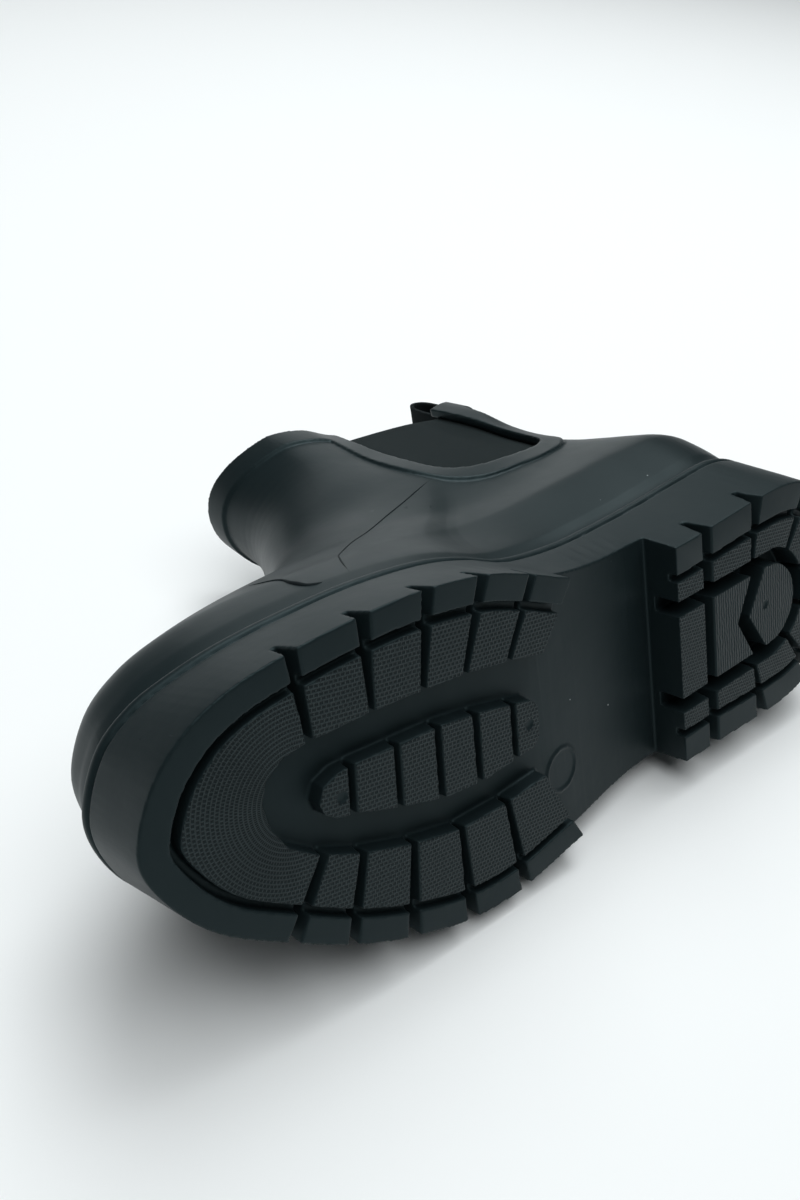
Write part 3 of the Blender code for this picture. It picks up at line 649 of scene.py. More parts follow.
def strips(size, base):
    """Faces that close a ring with strips from its inner to its outer side."""
    half = size // 2
    faces = [(base, base + size - 1, base + 1), (base + half - 1, base + half + 1, base + half)]
    for i in range(1, half - 1):
        faces.append((base + i, base + size - i, base + size - i - 1, base + i + 1))
    return faces


def loft(name, rings, caps):
    """A solid through rings of equal length. With no caps the last ring joins the first again."""
    rings = np.asarray(rings)
    count, size = rings.shape[:2]
    faces = tube_faces(count, size, not caps)
    if caps:
        faces += strips(size, 0)
        faces += [face[::-1] for face in strips(size, (count - 1) * size)]
    return new_form(name, rings.reshape(-1, 3), faces)


def bar(name, sections):
    """A solid through sections of equal length, closed by one flat face at each end."""
    sections = np.asarray(sections)
    count, size = sections.shape[:2]
    faces = [face[::-1] for face in tube_faces(count, size, False)]
    faces += [tuple(range(size)), tuple(range(count * size - 1, (count - 1) * size - 1, -1))]
    return new_form(name, sections.reshape(-1, 3), faces)


def shell(name, outside, inside, first=0, lift=0.0):
    """A wall between two distances from the upper's outer face."""
    grid, out = upper_grid(first)
    outer = grid + out * outside
    inner = grid + out * inside
    outer[-1, :, 2] += lift
    inner[-1, :, 2] += lift
    return loft(name, np.concatenate([outer, inner[::-1]]), caps=False)


def prism(name, outline, low, high, axis="Z"):
    """A flat outline drawn out from low to high along Z, or along Y from an outline in x and z."""
    n = len(outline)
    if axis == "Z":
        points = [(x, y, end) for end in (low, high) for x, y in outline]
    else:
        points = [(x, end, z) for end in (low, high) for x, z in outline]
    faces = [tuple(range(n)), tuple(range(2 * n - 1, n - 1, -1))]
    faces += [(i, i + n, (i + 1) % n + n, (i + 1) % n) for i in range(n)]
    return new_form(name, points, faces)


def join(target, other, operation):
    """Joins, cuts or crosses the target with another form."""
    modifier = target.modifiers.new(other.name, "BOOLEAN")
    modifier.operation = operation
    modifier.solver = "EXACT"
    modifier.object = other
    other.hide_render = True


def collar_height(x):
    """Height of the collar edge above x."""
    front_x, front_z, back_x, back_z, side_z = RINGS[-1][:5]
    s = (x - back_x) / (front_x - back_x)
    to_front = max(2 * s - 1, 0) ** 2
    to_back = max(1 - 2 * s, 0) ** 2
    return side_z + (front_z - side_z) * to_front + (back_z - side_z) * to_back


def gore_outline(margin):
    """The edge of a gore opening, moved outwards by the margin and drawn up past the collar."""
    edge = open_curve(GORE_EDGE, 6)
    ahead = np.gradient(edge, axis=0)
    ahead /= np.linalg.norm(ahead, axis=1)[:, None]
    return edge + margin * np.stack([-ahead[:, 1], ahead[:, 0]], 1)


def upper_form():
    """The hollow upper with its collar band, gore frames and gore openings."""
    upper = shell("upper_form", 0.0, -WALL)
    band = shell("band_form", BAND_STEP, -BAND_ROOT, FIRST_SHAFT_RING, BAND_LIFT)
    frame_edge = gore_outline(FRAME_WIDTH)
    to_front = np.linspace(PAST_ENDS, frame_edge[0, 0], BAND_STATIONS)
    to_back = np.linspace(frame_edge[-1, 0], -PAST_ENDS, BAND_STATIONS)
    front = [(x, collar_height(x) - BAND_DEPTH) for x in to_front]
    back = [(x, collar_height(x) - BAND_DEPTH) for x in to_back]
    low = [tuple(point) for point in frame_edge if point[1] < collar_height(point[0]) - BAND_DEPTH]
    outline = front[:-1] + low + back[1:] + [(-PAST_ENDS, PAST_TOP), (PAST_ENDS, PAST_TOP)]
    join(band, prism("band_outline", outline, PAST_OUTER, PAST_INNER, "Y"), "INTERSECT")
    join(upper, band, "UNION")
    edge = [tuple(point) for point in gore_outline(0.0)]
    opening = edge + [(edge[-1][0], PAST_TOP), (edge[0][0], PAST_TOP)]
    join(upper, prism("gore_openings", opening, PAST_OUTER, PAST_INNER, "Y"), "DIFFERENCE")
    return upper


def gore_form(name, low, high):
    """An elastic panel inside the wall, between two values of y."""
    outside = -(WALL + GAP)
    edge = [tuple(point) for point in gore_outline(GORE_MARGIN) if point[1] < GORE_TOP]
    outline = [(edge[0][0], GORE_TOP)] + edge + [(edge[-1][0], GORE_TOP)]
    gore = shell(name + "_form", outside, outside - GORE_THICK, FIRST_SHAFT_RING)
    join(gore, prism(name + "_outline", outline, low, high, "Y"), "INTERSECT")
    return gore


def sole_ring(points, height):
    """Ring of the sole from an outline, at the height that a function gives for the rows of each side."""
    s = shares(RING_SIDE)
    rows = []
    for chain in sides(points):
        side = sampled(chain, s)
        rows.append(np.column_stack([side[:, :2], height(side)]))
    return ring_of(*rows)


def strip_along(name, inset, width, high, keep):
    """A strip that follows the tread's edge inside it, over the stretch where keep is true of x."""
    near, far = grown(TREAD, -inset), grown(TREAD, -inset - width)
    chosen = keep(TREAD[:, 0])
    start = int(np.flatnonzero(chosen & ~np.roll(chosen, 1))[0])
    order = np.roll(np.arange(len(TREAD)), -start)
    order = order[chosen[order]]
    order = np.append(order[:-1:3], order[-1])
    sections = []
    for i in order:
        top = high + spring(TREAD[i, 0])
        sections.append([(*near[i], CUT_BELOW), (*far[i], CUT_BELOW), (*far[i], top), (*near[i], top)])
    return bar(name, sections)


def wedge(front, rear, depths, reach):
    """Corners of a groove between two edges from rim to inside, narrower at its floor and drawn out."""
    front, rear = np.array(front, float), np.array(rear, float)
    stretched = []
    for edge in (front, rear):
        ahead = (edge[1] - edge[0]) / np.linalg.norm(edge[1] - edge[0])
        stretched.append(np.array([edge[0] - ahead * reach[0], edge[1] + ahead * reach[1]]))
    middle = (stretched[0] + stretched[1]) / 2
    floor = [middle + (edge - middle) * GROOVE_NARROWING for edge in stretched]
    plan = [stretched[0][0], stretched[0][1], stretched[1][1], stretched[1][0]]
    top = [floor[0][0], floor[0][1], floor[1][1], floor[1][0]]
    heights = [depths[0], depths[1], depths[1], depths[0]]
    low = [(x, y, CUT_BELOW) for x, y in plan]
    return low + [(x, y, z + spring(x)) for (x, y), z in zip(top, heights)]


def wedges(name, grooves):
    """One cutter from grooves that don't meet each other."""
    points, faces = [], []
    box = [(0, 1, 2, 3), (7, 6, 5, 4), (0, 4, 5, 1), (1, 5, 6, 2), (2, 6, 7, 3), (3, 7, 4, 0)]
    for corners in grooves:
        base = len(points)
        a, b, c = (np.array(corners[i]) for i in (0, 1, 3))
        turned = np.cross(b - a, c - a)[2] > 0
        points += corners
        faces += [tuple(base + i for i in (face[::-1] if turned else face)) for face in box]
    return new_form(name, points, faces)


def channel_floor(x):
    """Height of the smooth channel and waist at x."""
    rise = BREAST_DEPTH - FORE_DEPTH
    return FORE_DEPTH + rise * smooth((WAIST_END - x) / WAIST_END) + spring(x)


def channel_form():
    """The smooth hollow round the island and under the waist, up to its sloping floor."""
    stations = np.linspace(*CHANNEL_ENDS, CHANNEL_STATIONS)
    half = CHANNEL_HALF
    sections = []
    for x, z in zip(stations, channel_floor(stations)):
        sections.append([(x, -half, CUT_BELOW), (x, half, CUT_BELOW), (x, half, z), (x, -half, z)])
    channel = bar("channel", sections)
    join(channel, prism("channel_outline", CHANNEL, 2 * CUT_BELOW, CHANNEL_TOP), "INTERSECT")
    join(channel, prism("island", ISLAND, 3 * CUT_BELOW, ISLAND_TOP), "DIFFERENCE")
    return channel


def heel_cutters():
    """The grooves of the heel, each its own cutter."""
    edges = [[(x, HEEL_CROSS_HALF), (x, -HEEL_CROSS_HALF)] for x in HEEL_CROSS]
    cross = wedges("heel_cross", [wedge(*edges, (HEEL_DEPTH, HEEL_DEPTH), (0, 0))])
    angles = np.radians(np.linspace(90, 270, 41))
    far = D_RADIUS + HEEL_CHANNEL
    outer = [(D_CENTRE + far * math.cos(a), far * math.sin(a)) for a in angles]
    inner = [(D_CENTRE + D_RADIUS * math.cos(a), D_RADIUS * math.sin(a)) for a in angles[::-1]]
    horseshoe = [(HEEL_FRONT, far)] + outer + [(HEEL_FRONT, -far), (HEEL_FRONT, -D_RADIUS)]
    horseshoe += inner + [(HEEL_FRONT, D_RADIUS)]
    ring = prism("heel_ring", horseshoe, CUT_BELOW, HEEL_DEPTH - HEEL_CHANNEL_LESS)
    chevron = prism("heel_chevron", HEEL_CHEVRON, CUT_BELOW, HEEL_DEPTH - HEEL_CHEVRON_LESS)
    depths = (HEEL_DEPTH, HEEL_DEPTH - HEEL_INSIDE_LESS)
    narrow, broad = (w / 2 for w in HEEL_RADIAL_WIDTHS)
    middle = np.array([D_CENTRE, 0])
    grooves = []
    for side in (1, -1):
        near, rim = HEEL_SLANT_INNER, HEEL_SLANT_OUTER
        edges = [[(rim[k], side * rim[2]), (near[k], side * near[2])] for k in (0, 1)]
        grooves.append(wedge(*edges, depths, HEEL_SLANT_REACH))
        for angle in HEEL_RADIAL_ANGLES:
            a = math.radians(angle * side)
            along = np.array([math.cos(a), math.sin(a)])
            across = np.array([-along[1], along[0]])
            foot = middle + along * far
            end = middle + along * HEEL_RADIAL_END
            edges = [[end + k * across * broad, foot + k * across * narrow] for k in (1, -1)]
            grooves.append(wedge(*edges, depths, HEEL_RADIAL_REACH))
    return [cross, ring, chevron, wedges("heel_grooves", grooves)]


def circle(x, y, radius, n=40):
    """Points round a circle."""
    angles = np.linspace(0, 2 * math.pi, n, endpoint=False)
    return [(x + radius * math.cos(a), y + radius * math.sin(a)) for a in angles]


def sole_form():
    """The sole with its lip, channel, grooves, dimples and ring."""
    rings = [sole_ring(TREAD, lambda side: spring(side[:, 0]))]
    for inset, rise in LIP_PROFILE:
        rings.append(sole_ring(grown(WELT, -inset), lambda side: side[:, 2] + rise))
    lip_inner = grown(WELT, -LIP_WIDTH)
    rings.append(sole_ring(lip_inner, lambda side: side[:, 2]))
    rings.append(sole_ring(lip_inner, lambda side: side[:, 2] - LIP_HEIGHT))
    sole = loft("sole_form", rings, caps=True)
    join(sole, channel_form(), "DIFFERENCE")
    grooves = []
    for rows, outer_depth, reach in (
        (FORE_GROOVES, NOTCH_HEIGHT, FORE_REACH),
        (ISLAND_GROOVES, GROOVE_DEPTH, ISLAND_REACH),
    ):
        for row in rows:
            grooves.append(wedge(*np.reshape(row, (2, 2, 2)), (outer_depth, GROOVE_DEPTH), reach))
    join(sole, wedges("fore_grooves", grooves), "DIFFERENCE")
    rim = (RIM_WIDTH, RIM_GROOVE, RIM_GROOVE_DEPTH)
    join(sole, strip_along("fore_rim", *rim, lambda x: x > RIM_GROOVE_START), "DIFFERENCE")
    for cutter in heel_cutters():
        join(sole, cutter, "DIFFERENCE")
    rim = (HEEL_RIM, HEEL_RIM_GROOVE, HEEL_RIM_DEPTH)
    join(sole, strip_along("heel_rim", *rim, lambda x: x < HEEL_RIM_END), "DIFFERENCE")
    for k, (x, y, radius) in enumerate(LUG_DIMPLES):
        top = spring(x) + DIMPLE_DEPTH
        join(sole, prism("dimple_%d" % k, circle(x, y, radius), CUT_BELOW, top), "DIFFERENCE")
    join(sole, ring_form(), "UNION")
    return sole


def ring_form():
    """The plain ring on the waist where the size mark is."""
    x, y, radius = SIZE_RING
    turns = np.linspace(0, 2 * math.pi, 12, endpoint=False)
    rings = []
    for px, py in circle(x, y, radius, 60):
        away = np.array([px - x, py - y, 0]) / radius
        centre = np.array([px, py, channel_floor(px)])
        ways = [away * math.cos(t) + np.array([0, 0, math.sin(t)]) for t in turns]
        rings.append([centre + RING_THICK * way for way in ways])
    return loft("size_ring", rings, caps=False)


def insole_form():
    """The loose footbed, with a sloped upper edge."""
    edge = grown(WELT, -LIP_WIDTH - GAP - WALL - INSOLE_PLAY)
    low = sole_ring(edge, lambda side: side[:, 2] - LIP_HEIGHT + GAP)
    edge = grown(edge, -INSOLE_EDGE)
    top = sole_ring(edge, lambda side: side[:, 2] - LIP_HEIGHT + GAP + INSOLE_THICK)
    return loft("insole_form", [low, low + (0, 0, INSOLE_THICK - INSOLE_EDGE), top], caps=True)


def loop_profile():
    """Edge of the folded webbing from its end: distance out from the wall, height over the collar."""
    leg_in = -(WALL + GAP + LOOP_THICK / 2)
    leg_out = BAND_STEP + GAP + LOOP_THICK / 2
    middle = (leg_in + leg_out) / 2
    line = [(leg_in, -LOOP_LEG), (leg_in, -LOOP_LEG / 2), (leg_in, 0.0)]
    line += [(middle + d * LOOP_BULGE, h * LOOP_HEIGHT) for d, h in LOOP_LINE]
    line += [(leg_out, 0.0), (leg_out, -LOOP_LEG / 2), (leg_out, -LOOP_LEG)]
    line = open_curve(line, 5)
    ahead = np.gradient(line, axis=0)
    ahead /= np.linalg.norm(ahead, axis=1)[:, None]
    normal = np.stack([-ahead[:, 1], ahead[:, 0]], 1) * LOOP_THICK / 2
    return np.vstack([line + normal, (line - normal)[::-1]])


def loop_form():
    """Webbing folded over the back of the collar: a leg on each side of the wall, a loop above."""
    profile = loop_profile()
    grid, out = upper_grid()
    top, below, away = grid[-1], grid[-1 - ROWS_PER_RING], out[-1]
    back = top[:, 0] < 0
    order = np.argsort(top[back][:, 1])
    place, under, away = top[back][order], below[back][order], away[back][order]
    start = place[:, 1].searchsorted(place[place[:, 0].argmin(), 1])
    length = np.concatenate([[0], np.cumsum(np.linalg.norm(np.diff(place, axis=0), axis=1))])
    spread = np.linspace(-0.5, 0.5, LOOP_STATIONS) * LOOP_WIDTH

    def along(table):
        return np.stack([np.interp(spread + length[start], length, table[:, k]) for k in range(3)], 1)

    at, facing = along(place), along(away)
    up = at - along(under)
    up /= np.linalg.norm(up, axis=1)[:, None]
    centre = len(spread) // 2
    run = at[-1] - at[0]
    straight = at[centre] + spread[:, None] * run / np.linalg.norm(run)
    sections = []
    for i in range(len(spread)):
        section = []
        for d, h in profile:
            flat = LOOP_FLAT * smooth(h / LOOP_HEIGHT * LOOP_FLAT_RATE)
            base = at[i] + flat * (straight[i] - at[i])
            rise = up[i] + flat * (up[centre] + np.array((0, LOOP_LEAN, 0)) - up[i])
            out_way = facing[i] + flat * (facing[centre] - facing[i])
            out_way -= rise * (out_way @ rise)
            section.append(base + d * out_way / np.linalg.norm(out_way) + h * rise)
        sections.append(section)
    sections = np.array(sections)
    count, size = sections.shape[:2]
    faces = tube_faces(count, size, False)
    for base, turn in ((0, -1), ((count - 1) * size, 1)):
        for i in range(size // 2 - 1):
            faces.append(tuple(base + k for k in (i, i + 1, size - 2 - i, size - 1 - i))[::turn])
    return new_form("loop_form", sections.reshape(-1, 3), faces)


def evaluated(obj):
    """The mesh of a form with its modifiers applied."""
    bpy.context.view_layer.update()
    graph = bpy.context.evaluated_depsgraph_get()
    return bpy.data.meshes.new_from_object(obj.evaluated_get(graph))


def closed(mesh):
    """The mesh with any small hole that the cuts left in it filled."""
    surface = bmesh.new()
    surface.from_mesh(mesh)
    bmesh.ops.holes_fill(surface, edges=[edge for edge in surface.edges if edge.is_boundary])
    surface.to_mesh(mesh)
    surface.free()
    return mesh


def rounded(form, face):
    """The mesh of a solid in small even faces, its edges rounded off."""
    obj = bpy.data.objects.new("whole", closed(evaluated(form)))
    WORKSHOP.objects.link(obj)
    even = obj.modifiers.new("even", "REMESH")
    even.mode = "VOXEL"
    even.voxel_size = face
    soft = obj.modifiers.new("soft", "SMOOTH")
    soft.factor = 0.5
    soft.iterations = ROUNDING
    return evaluated(obj)


def thinned(mesh):
    """The mesh thinned out to about MOST_TRIANGLES triangles at most. The mesh with no
    more triangles than a piece may have.
    """
    obj = bpy.data.objects.new("thinned", mesh)
    WORKSHOP.objects.link(obj)
    fewer = obj.modifiers.new("fewer", "DECIMATE")
    fewer.ratio = min(1.0, MOST_TRIANGLES / (2 * len(mesh.polygons)))
    return evaluated(obj)


def table(items, key):
    """Three numbers for each vertex or face of a mesh."""
    values = np.empty(len(items) * 3, np.float32)
    items.foreach_get(key, values)
    return values.reshape(-1, 3).astype(float)


def set_points(mesh, points):
    """Moves the vertices of a mesh to new places."""
    mesh.vertices.foreach_set("co", np.ascontiguousarray(points, np.float32).ravel())
    mesh.update()


def add_plan(mesh, columns):
    """Two of the boot's own coordinates in centimetres as a texture map."""
    points = table(mesh.vertices, "co")[:, columns] / 10
    corners = np.empty(len(mesh.loops), np.int32)
    mesh.loops.foreach_get("vertex_index", corners)
    layer = mesh.uv_layers.new(name="plan")
    layer.data.foreach_set("uv", points[corners].astype(np.float32).ravel())


def inside(points, outline):
    """Which of the points lie inside a closed outline, both in x and y."""
    x, y = points[:, 0], points[:, 1]
    found = np.zeros(len(points), bool)
    for a, b in zip(outline, np.roll(outline, -1, 0)):
        crosses = (a[1] > y) != (b[1] > y)
        if crosses.any():
            found[crosses] ^= x[crosses] < (b[0] - a[0]) * (y[crosses] - a[1]) / (b[1] - a[1]) + a[0]
    return found


def placed(name, mesh, materials, node=None, kinds=None):
    """A finished piece of the boot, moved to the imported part's frame."""
    mesh.name = name
    mesh.transform(Matrix([[v * MM for v in row[:3]] + [row[3]] for row in LAID] + [[0, 0, 0, 1]]))
    mesh.polygons.foreach_set("use_smooth", np.ones(len(mesh.polygons), bool))
    mesh.materials.clear()
    for material in materials:
        mesh.materials.append(material)
    if kinds is not None:
        mesh.polygons.foreach_set("material_index", kinds)
    mesh.update()
    obj = bpy.data.objects.new(name, mesh)
    bpy.context.scene.collection.objects.link(obj)
    bpy.context.view_layer.update()
    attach(obj, "root")
    if node:
        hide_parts(node)
    return obj


def shoulder_shift(points, normals):
    """How far each point of the upper moves outwards for its soft edge and for the line at its root."""
    rise = points[:, 2] - np.interp(points[:, 0], *np.array(open_curve(SHOULDER, 8)).T)
    reach = np.where(rise > 0, SHOULDER_ABOVE, SHOULDER_BELOW)
    away = np.sqrt(rise**2 + SHOULDER_RADIUS**2) - SHOULDER_RADIUS
    core = np.tile((0.0, CORE_Y, CORE_Z), (len(points), 1))
    core[:, 0] = np.clip(points[:, 0], *CORE_ENDS)
    outside = ((points - core) * normals).sum(1) > 0
    shift = SHOULDER_STEP * np.exp(-away / reach) * smooth(normals[:, 1] + SHOULDER_TURN)
    welt = np.interp(points[:, 0], WELT_INNER[:, 0], WELT_INNER[:, 2])
    shift -= ROOT_DEPTH * (1 - smooth((points[:, 2] - welt) / ROOT_HEIGHT))
    return shift * outside


def pits(points, normals):
    """Which faces of the sole are the textured tops of its lugs, and which of them are rippled."""
    x, y, z = points.T
    on_tread = (np.abs(z - spring(x)) < PIT_LEVEL) & (normals[:, 2] < PIT_FACING)
    fore = (x > FORE_PITS_START) & inside(points, grown(TREAD, -PIT_EDGE))
    heel = (x < HEEL_PITS_END) & inside(points, grown(TREAD, -HEEL_PIT_EDGE))
    middle = (x < RIPPLES_END) & (np.abs(y) < D_RADIUS)
    middle |= np.hypot(x - D_CENTRE, y) < D_RADIUS
    return on_tread & (fore | heel), on_tread & heel & middle


def seam_form(name, tree, line, radii):
    """A thin bead along a line given in x and z on the inner side of a mesh."""
    radii = np.maximum(radii, BEAD_LEAST)
    points, normals = [], []
    for x, z in line:
        hit = tree.ray_cast(Vector((x, BEAD_FROM, z)), Vector((0, -1, 0)))
        points.append(hit[0])
        normals.append(hit[1])
    points, normals = np.array(points), np.array(normals)
    ahead = np.gradient(points, axis=0)
    ahead /= np.linalg.norm(ahead, axis=1)[:, None]
    across = np.cross(ahead, normals)
    turns = np.linspace(0, 2 * math.pi, 10, endpoint=False)
    sections = []
    for p, n, c, r in zip(points, normals, across, radii):
        centre = p - n * BEAD_SINK * r
        sections.append([centre + r * (n * math.sin(t) + c * math.cos(t)) for t in turns])
    return bar(name, sections)


class Shader:
    """A procedural material, with short calls to add and link its nodes."""

    def __init__(self, name, colour, roughness, gloss=0.2):
        self.material = bpy.data.materials.new(name)
        self.material.use_nodes = True
        self.tree = self.material.node_tree
        self.surface = self.tree.nodes["Principled BSDF"]
        self.surface.inputs["Base Color"].default_value = (*colour, 1)
        self.surface.inputs["Roughness"].default_value = roughness
        self.surface.inputs["Specular IOR Level"].default_value = gloss
        self.surface.inputs["Specular Tint"].default_value = (*TINT, 1)

    def node(self, kind, links=(), settings=(), **inputs):
        node = self.tree.nodes.new("ShaderNode" + kind)
        for key, value in settings:
            setattr(node, key, value)
        for key, value in inputs.items():
            node.inputs[key.replace("_", " ")].default_value = value
        for source, target in links:
            self.tree.links.new(source, node.inputs[target])
        return node

    def place(self):
        return self.node("TexCoord").outputs["Object"]

    def plan(self):
        return self.node("UVMap", settings=[("uv_map", "plan")]).outputs["UV"]

    def to(self, source, target):
        self.tree.links.new(source, self.surface.inputs[target])

    def ramp(self, source, low, high, positions=(0.0, 1.0)):
        node = self.node("ValToRGB", [(source, "Fac")])
        for element, place, colour in zip(node.color_ramp.elements, positions, (low, high)):
            element.position = place
            element.color = (*colour, 1)
        return node

    def span(self, source, low, high, start=0.0, end=1.0):
        node = self.node("MapRange", [(source, "Value")])
        for key, value in (("From Min", start), ("From Max", end), ("To Min", low), ("To Max", high)):
            node.inputs[key].default_value = value
        return node.outputs["Result"]

    def uneven(self, place, roughness, change, scale, **inputs):
        """Patches that shine more or less, by the change in roughness."""
        patch = self.node("TexNoise", [(place, "Vector")], Scale=scale, **inputs)
        span = self.span(patch.outputs["Fac"], roughness - change, roughness + change, 0.3, 0.7)
        self.to(span, "Roughness")


def rubber(name, roughness, grain, uneven):
    """Satin rubber with fine grain, patches that shine more or less, and a few specks of dust."""
    shader = Shader(name, RUBBER, roughness)
    place = shader.place()
    shader.uneven(place, roughness, uneven, 22.0, Detail=4.0, Roughness=0.6)
    speck = shader.node("TexVoronoi", [(place, "Vector")], Scale=SPECK_SCALE, Randomness=1.0)
    tint = shader.ramp(speck.outputs["Distance"], DUST, RUBBER, SPECK_EDGES)
    shader.to(tint.outputs["Color"], "Base Color")
    below = []
    for scale, depth in (WIDE_GRAIN, FINE_GRAIN):
        noise = shader.node("TexNoise", [(place, "Vector")], Scale=scale, Detail=2.0)
        links = [(noise.outputs["Fac"], "Height")] + below
        bump = shader.node("Bump", links, Strength=grain, Distance=depth)
        below = [(bump.outputs["Normal"], "Normal")]
    shader.to(bump.outputs["Normal"], "Normal")
    return shader.material


def pitted_rubber_painted_shade():
    """Rubber of the lugs' faces: rows of small pits that run round the middle of the sole, with painted
    shade in the pits and painted light on the ridges between them.
    """
    shader = Shader("pitted_rubber_painted_shade", RUBBER, 0.5)
    start, end = np.array(SPINE_START) / 10, np.array(SPINE_END) / 10
    length = float(np.linalg.norm(end - start))
    along = (end - start) / length
    across = np.array([start[1] - end[1], end[0] - start[0]]) / length
    moved = shader.node("VectorMath", [(shader.plan(), 0)], [("operation", "SUBTRACT")])
    moved.inputs[1].default_value = (*start, 0)
    parts = []
    for axis in (along, across):
        dot = shader.node("VectorMath", [(moved.outputs[0], 0)], [("operation", "DOT_PRODUCT")])
        dot.inputs[1].default_value = (*axis, 0)
        parts.append(dot.outputs["Value"])

    def sums(operation, first, second):
        node = shader.node("Math", settings=[("operation", operation)])
        for k, value in enumerate((first, second)):
            if isinstance(value, float):
                node.inputs[k].default_value = value
            else:
                shader.tree.links.new(value, node.inputs[k])
        return node.outputs[0]

    beyond = sums("MAXIMUM", sums("SUBTRACT", parts[0], length), 0.0)
    side = sums("ABSOLUTE", parts[1], 0.0)
    row = sums("SQRT", sums("ADD", sums("MULTIPLY", beyond, beyond), sums("MULTIPLY", side, side)), 0.0)
    turn = sums("MULTIPLY", sums("ARCTAN2", beyond, side), PIT_TURN)
    run = sums("ADD", sums("MINIMUM", parts[0], length), turn)
    flat = shader.node("CombineXYZ", [(run, "X"), (row, "Y")])
    bricks = shader.node("TexBrick", [(flat.outputs[0], "Vector")], Scale=1.0)
    bricks.offset = 0.5
    bricks.inputs["Mortar Size"].default_value = PIT_MORTAR
    bricks.inputs["Mortar Smooth"].default_value = 0.9
    bricks.inputs["Brick Width"].default_value = PIT_LENGTH / 10
    bricks.inputs["Row Height"].default_value = PIT_ROW / 10
    # Painted shade in the pits and painted light on the ridges, drawn from the same pattern as the bump
    tint = shader.ramp(bricks.outputs["Fac"], *PIT_PAINTED_SHADE_AND_LIGHT, (0.1, 0.8))
    shader.to(tint.outputs["Color"], "Base Color")
    bump = shader.node("Bump", [(bricks.outputs["Fac"], "Height")], Strength=0.9, Distance=PIT_BUMP)
    shader.to(bump.outputs["Normal"], "Normal")
    return shader.material


def rippled_rubber_painted_shade():
    """Rubber of the two middle lugs of the heel: fine wavy ripples, with painted shade in their troughs
    and painted light on their crests.
    """
    shader = Shader("rippled_rubber_painted_shade", RUBBER, 0.5)
    wave = shader.node("TexWave", [(shader.plan(), "Vector")], Scale=2.6, Distortion=2.6, Detail=1.0)
    wave.inputs["Detail Scale"].default_value = 1.6
    wave.bands_direction = "X"
    # Painted shade in the troughs and painted light on the crests, drawn from the same wave as the bump
    tint = shader.ramp(wave.outputs["Fac"], *RIPPLE_PAINTED_SHADE_AND_LIGHT, (0.2, 0.8))
    shader.to(tint.outputs["Color"], "Base Color")
    bump = shader.node("Bump", [(wave.outputs["Fac"], "Height")], Strength=0.8, Distance=PIT_BUMP)
    shader.to(bump.outputs["Normal"], "Normal")
    return shader.material


def woven(name, colour, scale):
    """Matte cloth with crossing threads, with painted light where the threads rise and painted shade
    between them.
    """
    shader = Shader(name, colour, 0.92)
    place = shader.plan()
    ribs = []
    for direction in ("X", "Y"):
        wave = shader.node("TexWave", [(place, "Vector")], Scale=scale, Distortion=0.4, Detail=1.0)
        wave.bands_direction = direction
        ribs.append(wave.outputs["Fac"])
    both = shader.node("Math", [(ribs[0], 0), (ribs[1], 1)], [("operation", "MULTIPLY")])
    bump = shader.node("Bump", [(both.outputs[0], "Height")], Strength=0.7, Distance=WEAVE_DEPTH)
    shader.to(bump.outputs["Normal"], "Normal")
    # Painted light on the raised threads and painted shade between them, drawn from the same height as the
    # bump
    painted_light = tuple(2.2 * c for c in colour)
    shader.to(shader.ramp(both.outputs[0], colour, painted_light).outputs["Color"], "Base Color")
    return shader.material


def plain(name, colour, roughness):
    """One colour, with patches that shine a little more or less."""
    shader = Shader(name, colour, roughness)
    shader.uneven(shader.place(), roughness, 0.06, 60.0, Detail=3.0)
    return shader.material


def make_sole():
    mesh = thinned(rounded(sole_form(), SOLE_FACE))
    add_plan(mesh, [0, 1])
    textured, rippled = pits(table(mesh.polygons, "center"), table(mesh.polygons, "normal"))
    kinds = np.where(rippled, 2, np.where(textured, 1, 0)).astype(np.int32)
    materials = [rubber("sole_rubber", 0.48, 0.18, 0.05), pitted_rubber_painted_shade(), rippled_rubber_painted_shade()]
    placed("sole", mesh, materials, "outsole", kinds)


def make_upper():
    # The seam and flex mark beads get a colour darker than the rubber: painted shade of the lines they
    # stand for
    painted_shade_line = plain("painted_shade_line", LINE_PAINTED_SHADE, 0.7)
    mesh = rounded(upper_form(), UPPER_FACE)
    points, normals = table(mesh.vertices, "co"), table(mesh.vertices, "normal")
    set_points(mesh, points + normals * shoulder_shift(points, normals)[:, None])
    mesh = thinned(mesh)
    points = [vertex.co for vertex in mesh.vertices]
    tree = BVHTree.FromPolygons(points, [tuple(face.vertices) for face in mesh.polygons])
    line = open_curve(MOULD_SEAM, 12)
    ramp = smooth(np.linspace(0, SEAM_TAPER, len(line)))
    seam = evaluated(seam_form("seam_form", tree, line, SEAM_RADIUS * ramp * ramp[::-1]))
    line = open_curve(FLEX_MARK, 6)
    mark = evaluated(seam_form("mark_form", tree, line[:, :2], line[:, 2]))
    placed("boot_upper", mesh, [rubber("upper_rubber", 0.42, 0.12, 0.05)], "upper")
    placed("mould_seam", seam, [painted_shade_line])
    placed("flex_mark", mark, [painted_shade_line])


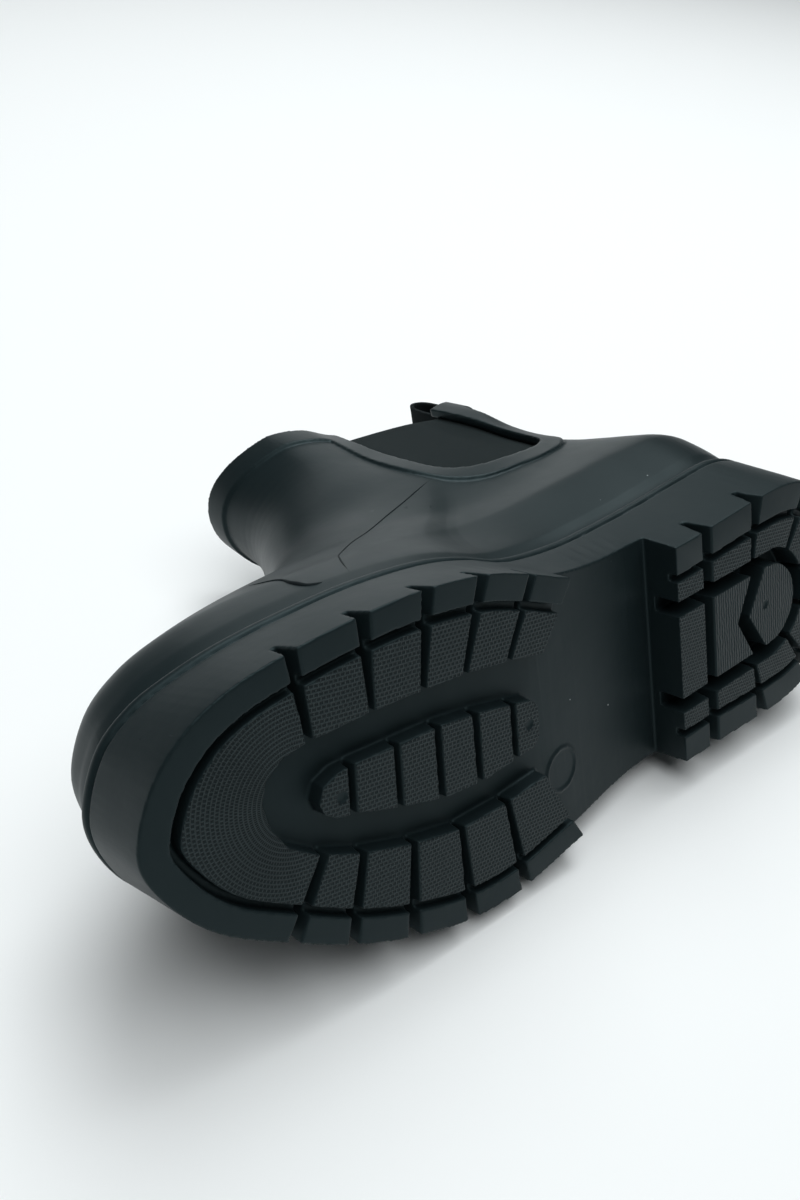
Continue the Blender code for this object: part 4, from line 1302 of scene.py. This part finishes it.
def make_cloth():
    knit = woven("gore_knit", KNIT, KNIT_SCALE)
    reach = {"medial": (SHAFT_MIDDLE_Y, PAST_INNER), "lateral": (PAST_OUTER, SHAFT_MIDDLE_Y)}
    for name, (low, high) in reach.items():
        mesh = evaluated(gore_form("gore_" + name, low, high))
        add_plan(mesh, [0, 2])
        placed("knit_" + name, mesh, [knit], "gore_" + name)

    mesh = evaluated(loop_form())
    add_plan(mesh, [1, 2])
    placed("webbing_loop", mesh, [woven("webbing", WEBBING, WEBBING_SCALE)], "pull_loop")
    mesh = evaluated(insole_form())
    placed("footbed", mesh, [plain("footbed_cloth", FOOTBED, 0.9)], "insole")


def clear_workshop():
    for obj in list(WORKSHOP.objects):
        bpy.data.objects.remove(obj)
    bpy.data.collections.remove(WORKSHOP)


def make_floor():
    shader = Shader("floor", FLOOR, 0.85)
    grain = shader.node("TexNoise", [(shader.place(), "Vector")], Scale=3.0, Detail=2.0)
    shader.to(shader.span(grain.outputs["Fac"], 0.8, 0.9), "Roughness")
    mesh = bpy.data.meshes.new("floor")
    reach = FLOOR_REACH
    corners = [(-reach, -reach, 0), (reach, -reach, 0), (reach, reach, 0), (-reach, reach, 0)]
    mesh.from_pydata(corners, [], [(0, 1, 2, 3)])
    mesh.materials.append(shader.material)
    floor = bpy.data.objects.new("floor", mesh)
    bpy.context.scene.collection.objects.link(floor)


def add_light(name, place, target, size, power):
    data = bpy.data.lights.new(name, "AREA")
    data.shape = "RECTANGLE"
    data.size, data.size_y = size
    data.energy = power
    data.color = LIGHT
    lamp = bpy.data.objects.new(name, data)
    lamp.location = place
    aim = Vector(target) - Vector(place)
    lamp.rotation_mode = "QUATERNION"
    lamp.rotation_quaternion = aim.to_track_quat("-Z", "Y")
    bpy.context.scene.collection.objects.link(lamp)


def make_light():
    world = bpy.data.worlds.new("studio")
    bpy.context.scene.world = world
    world.use_nodes = True
    sky = world.node_tree.nodes["Background"]
    sky.inputs["Color"].default_value = (*LIGHT, 1)
    sky.inputs["Strength"].default_value = SKY
    for row in LIGHTS:
        add_light(*row)
    bpy.context.scene.view_settings.view_transform = "Standard"


def make_camera():
    turn = np.array(LAID)[:, :3]
    right, down, ahead = (turn @ np.array(axis) for axis in CAMERA_AXES)
    place = turn @ np.array(CAMERA_PLACE) * MM + np.array(LAID)[:, 3]
    data = bpy.data.cameras.new("camera")
    data.sensor_width = 36.0
    data.lens = CAMERA_LENS
    data.clip_start = 0.01
    camera = bpy.data.objects.new("camera", data)
    columns = np.column_stack([right, -down, -ahead, place])
    camera.matrix_world = Matrix(columns.tolist() + [[0, 0, 0, 1]])
    bpy.context.scene.collection.objects.link(camera)
    bpy.context.scene.camera = camera


make_sole()
make_upper()
make_cloth()
clear_workshop()
make_floor()
make_light()
make_camera()
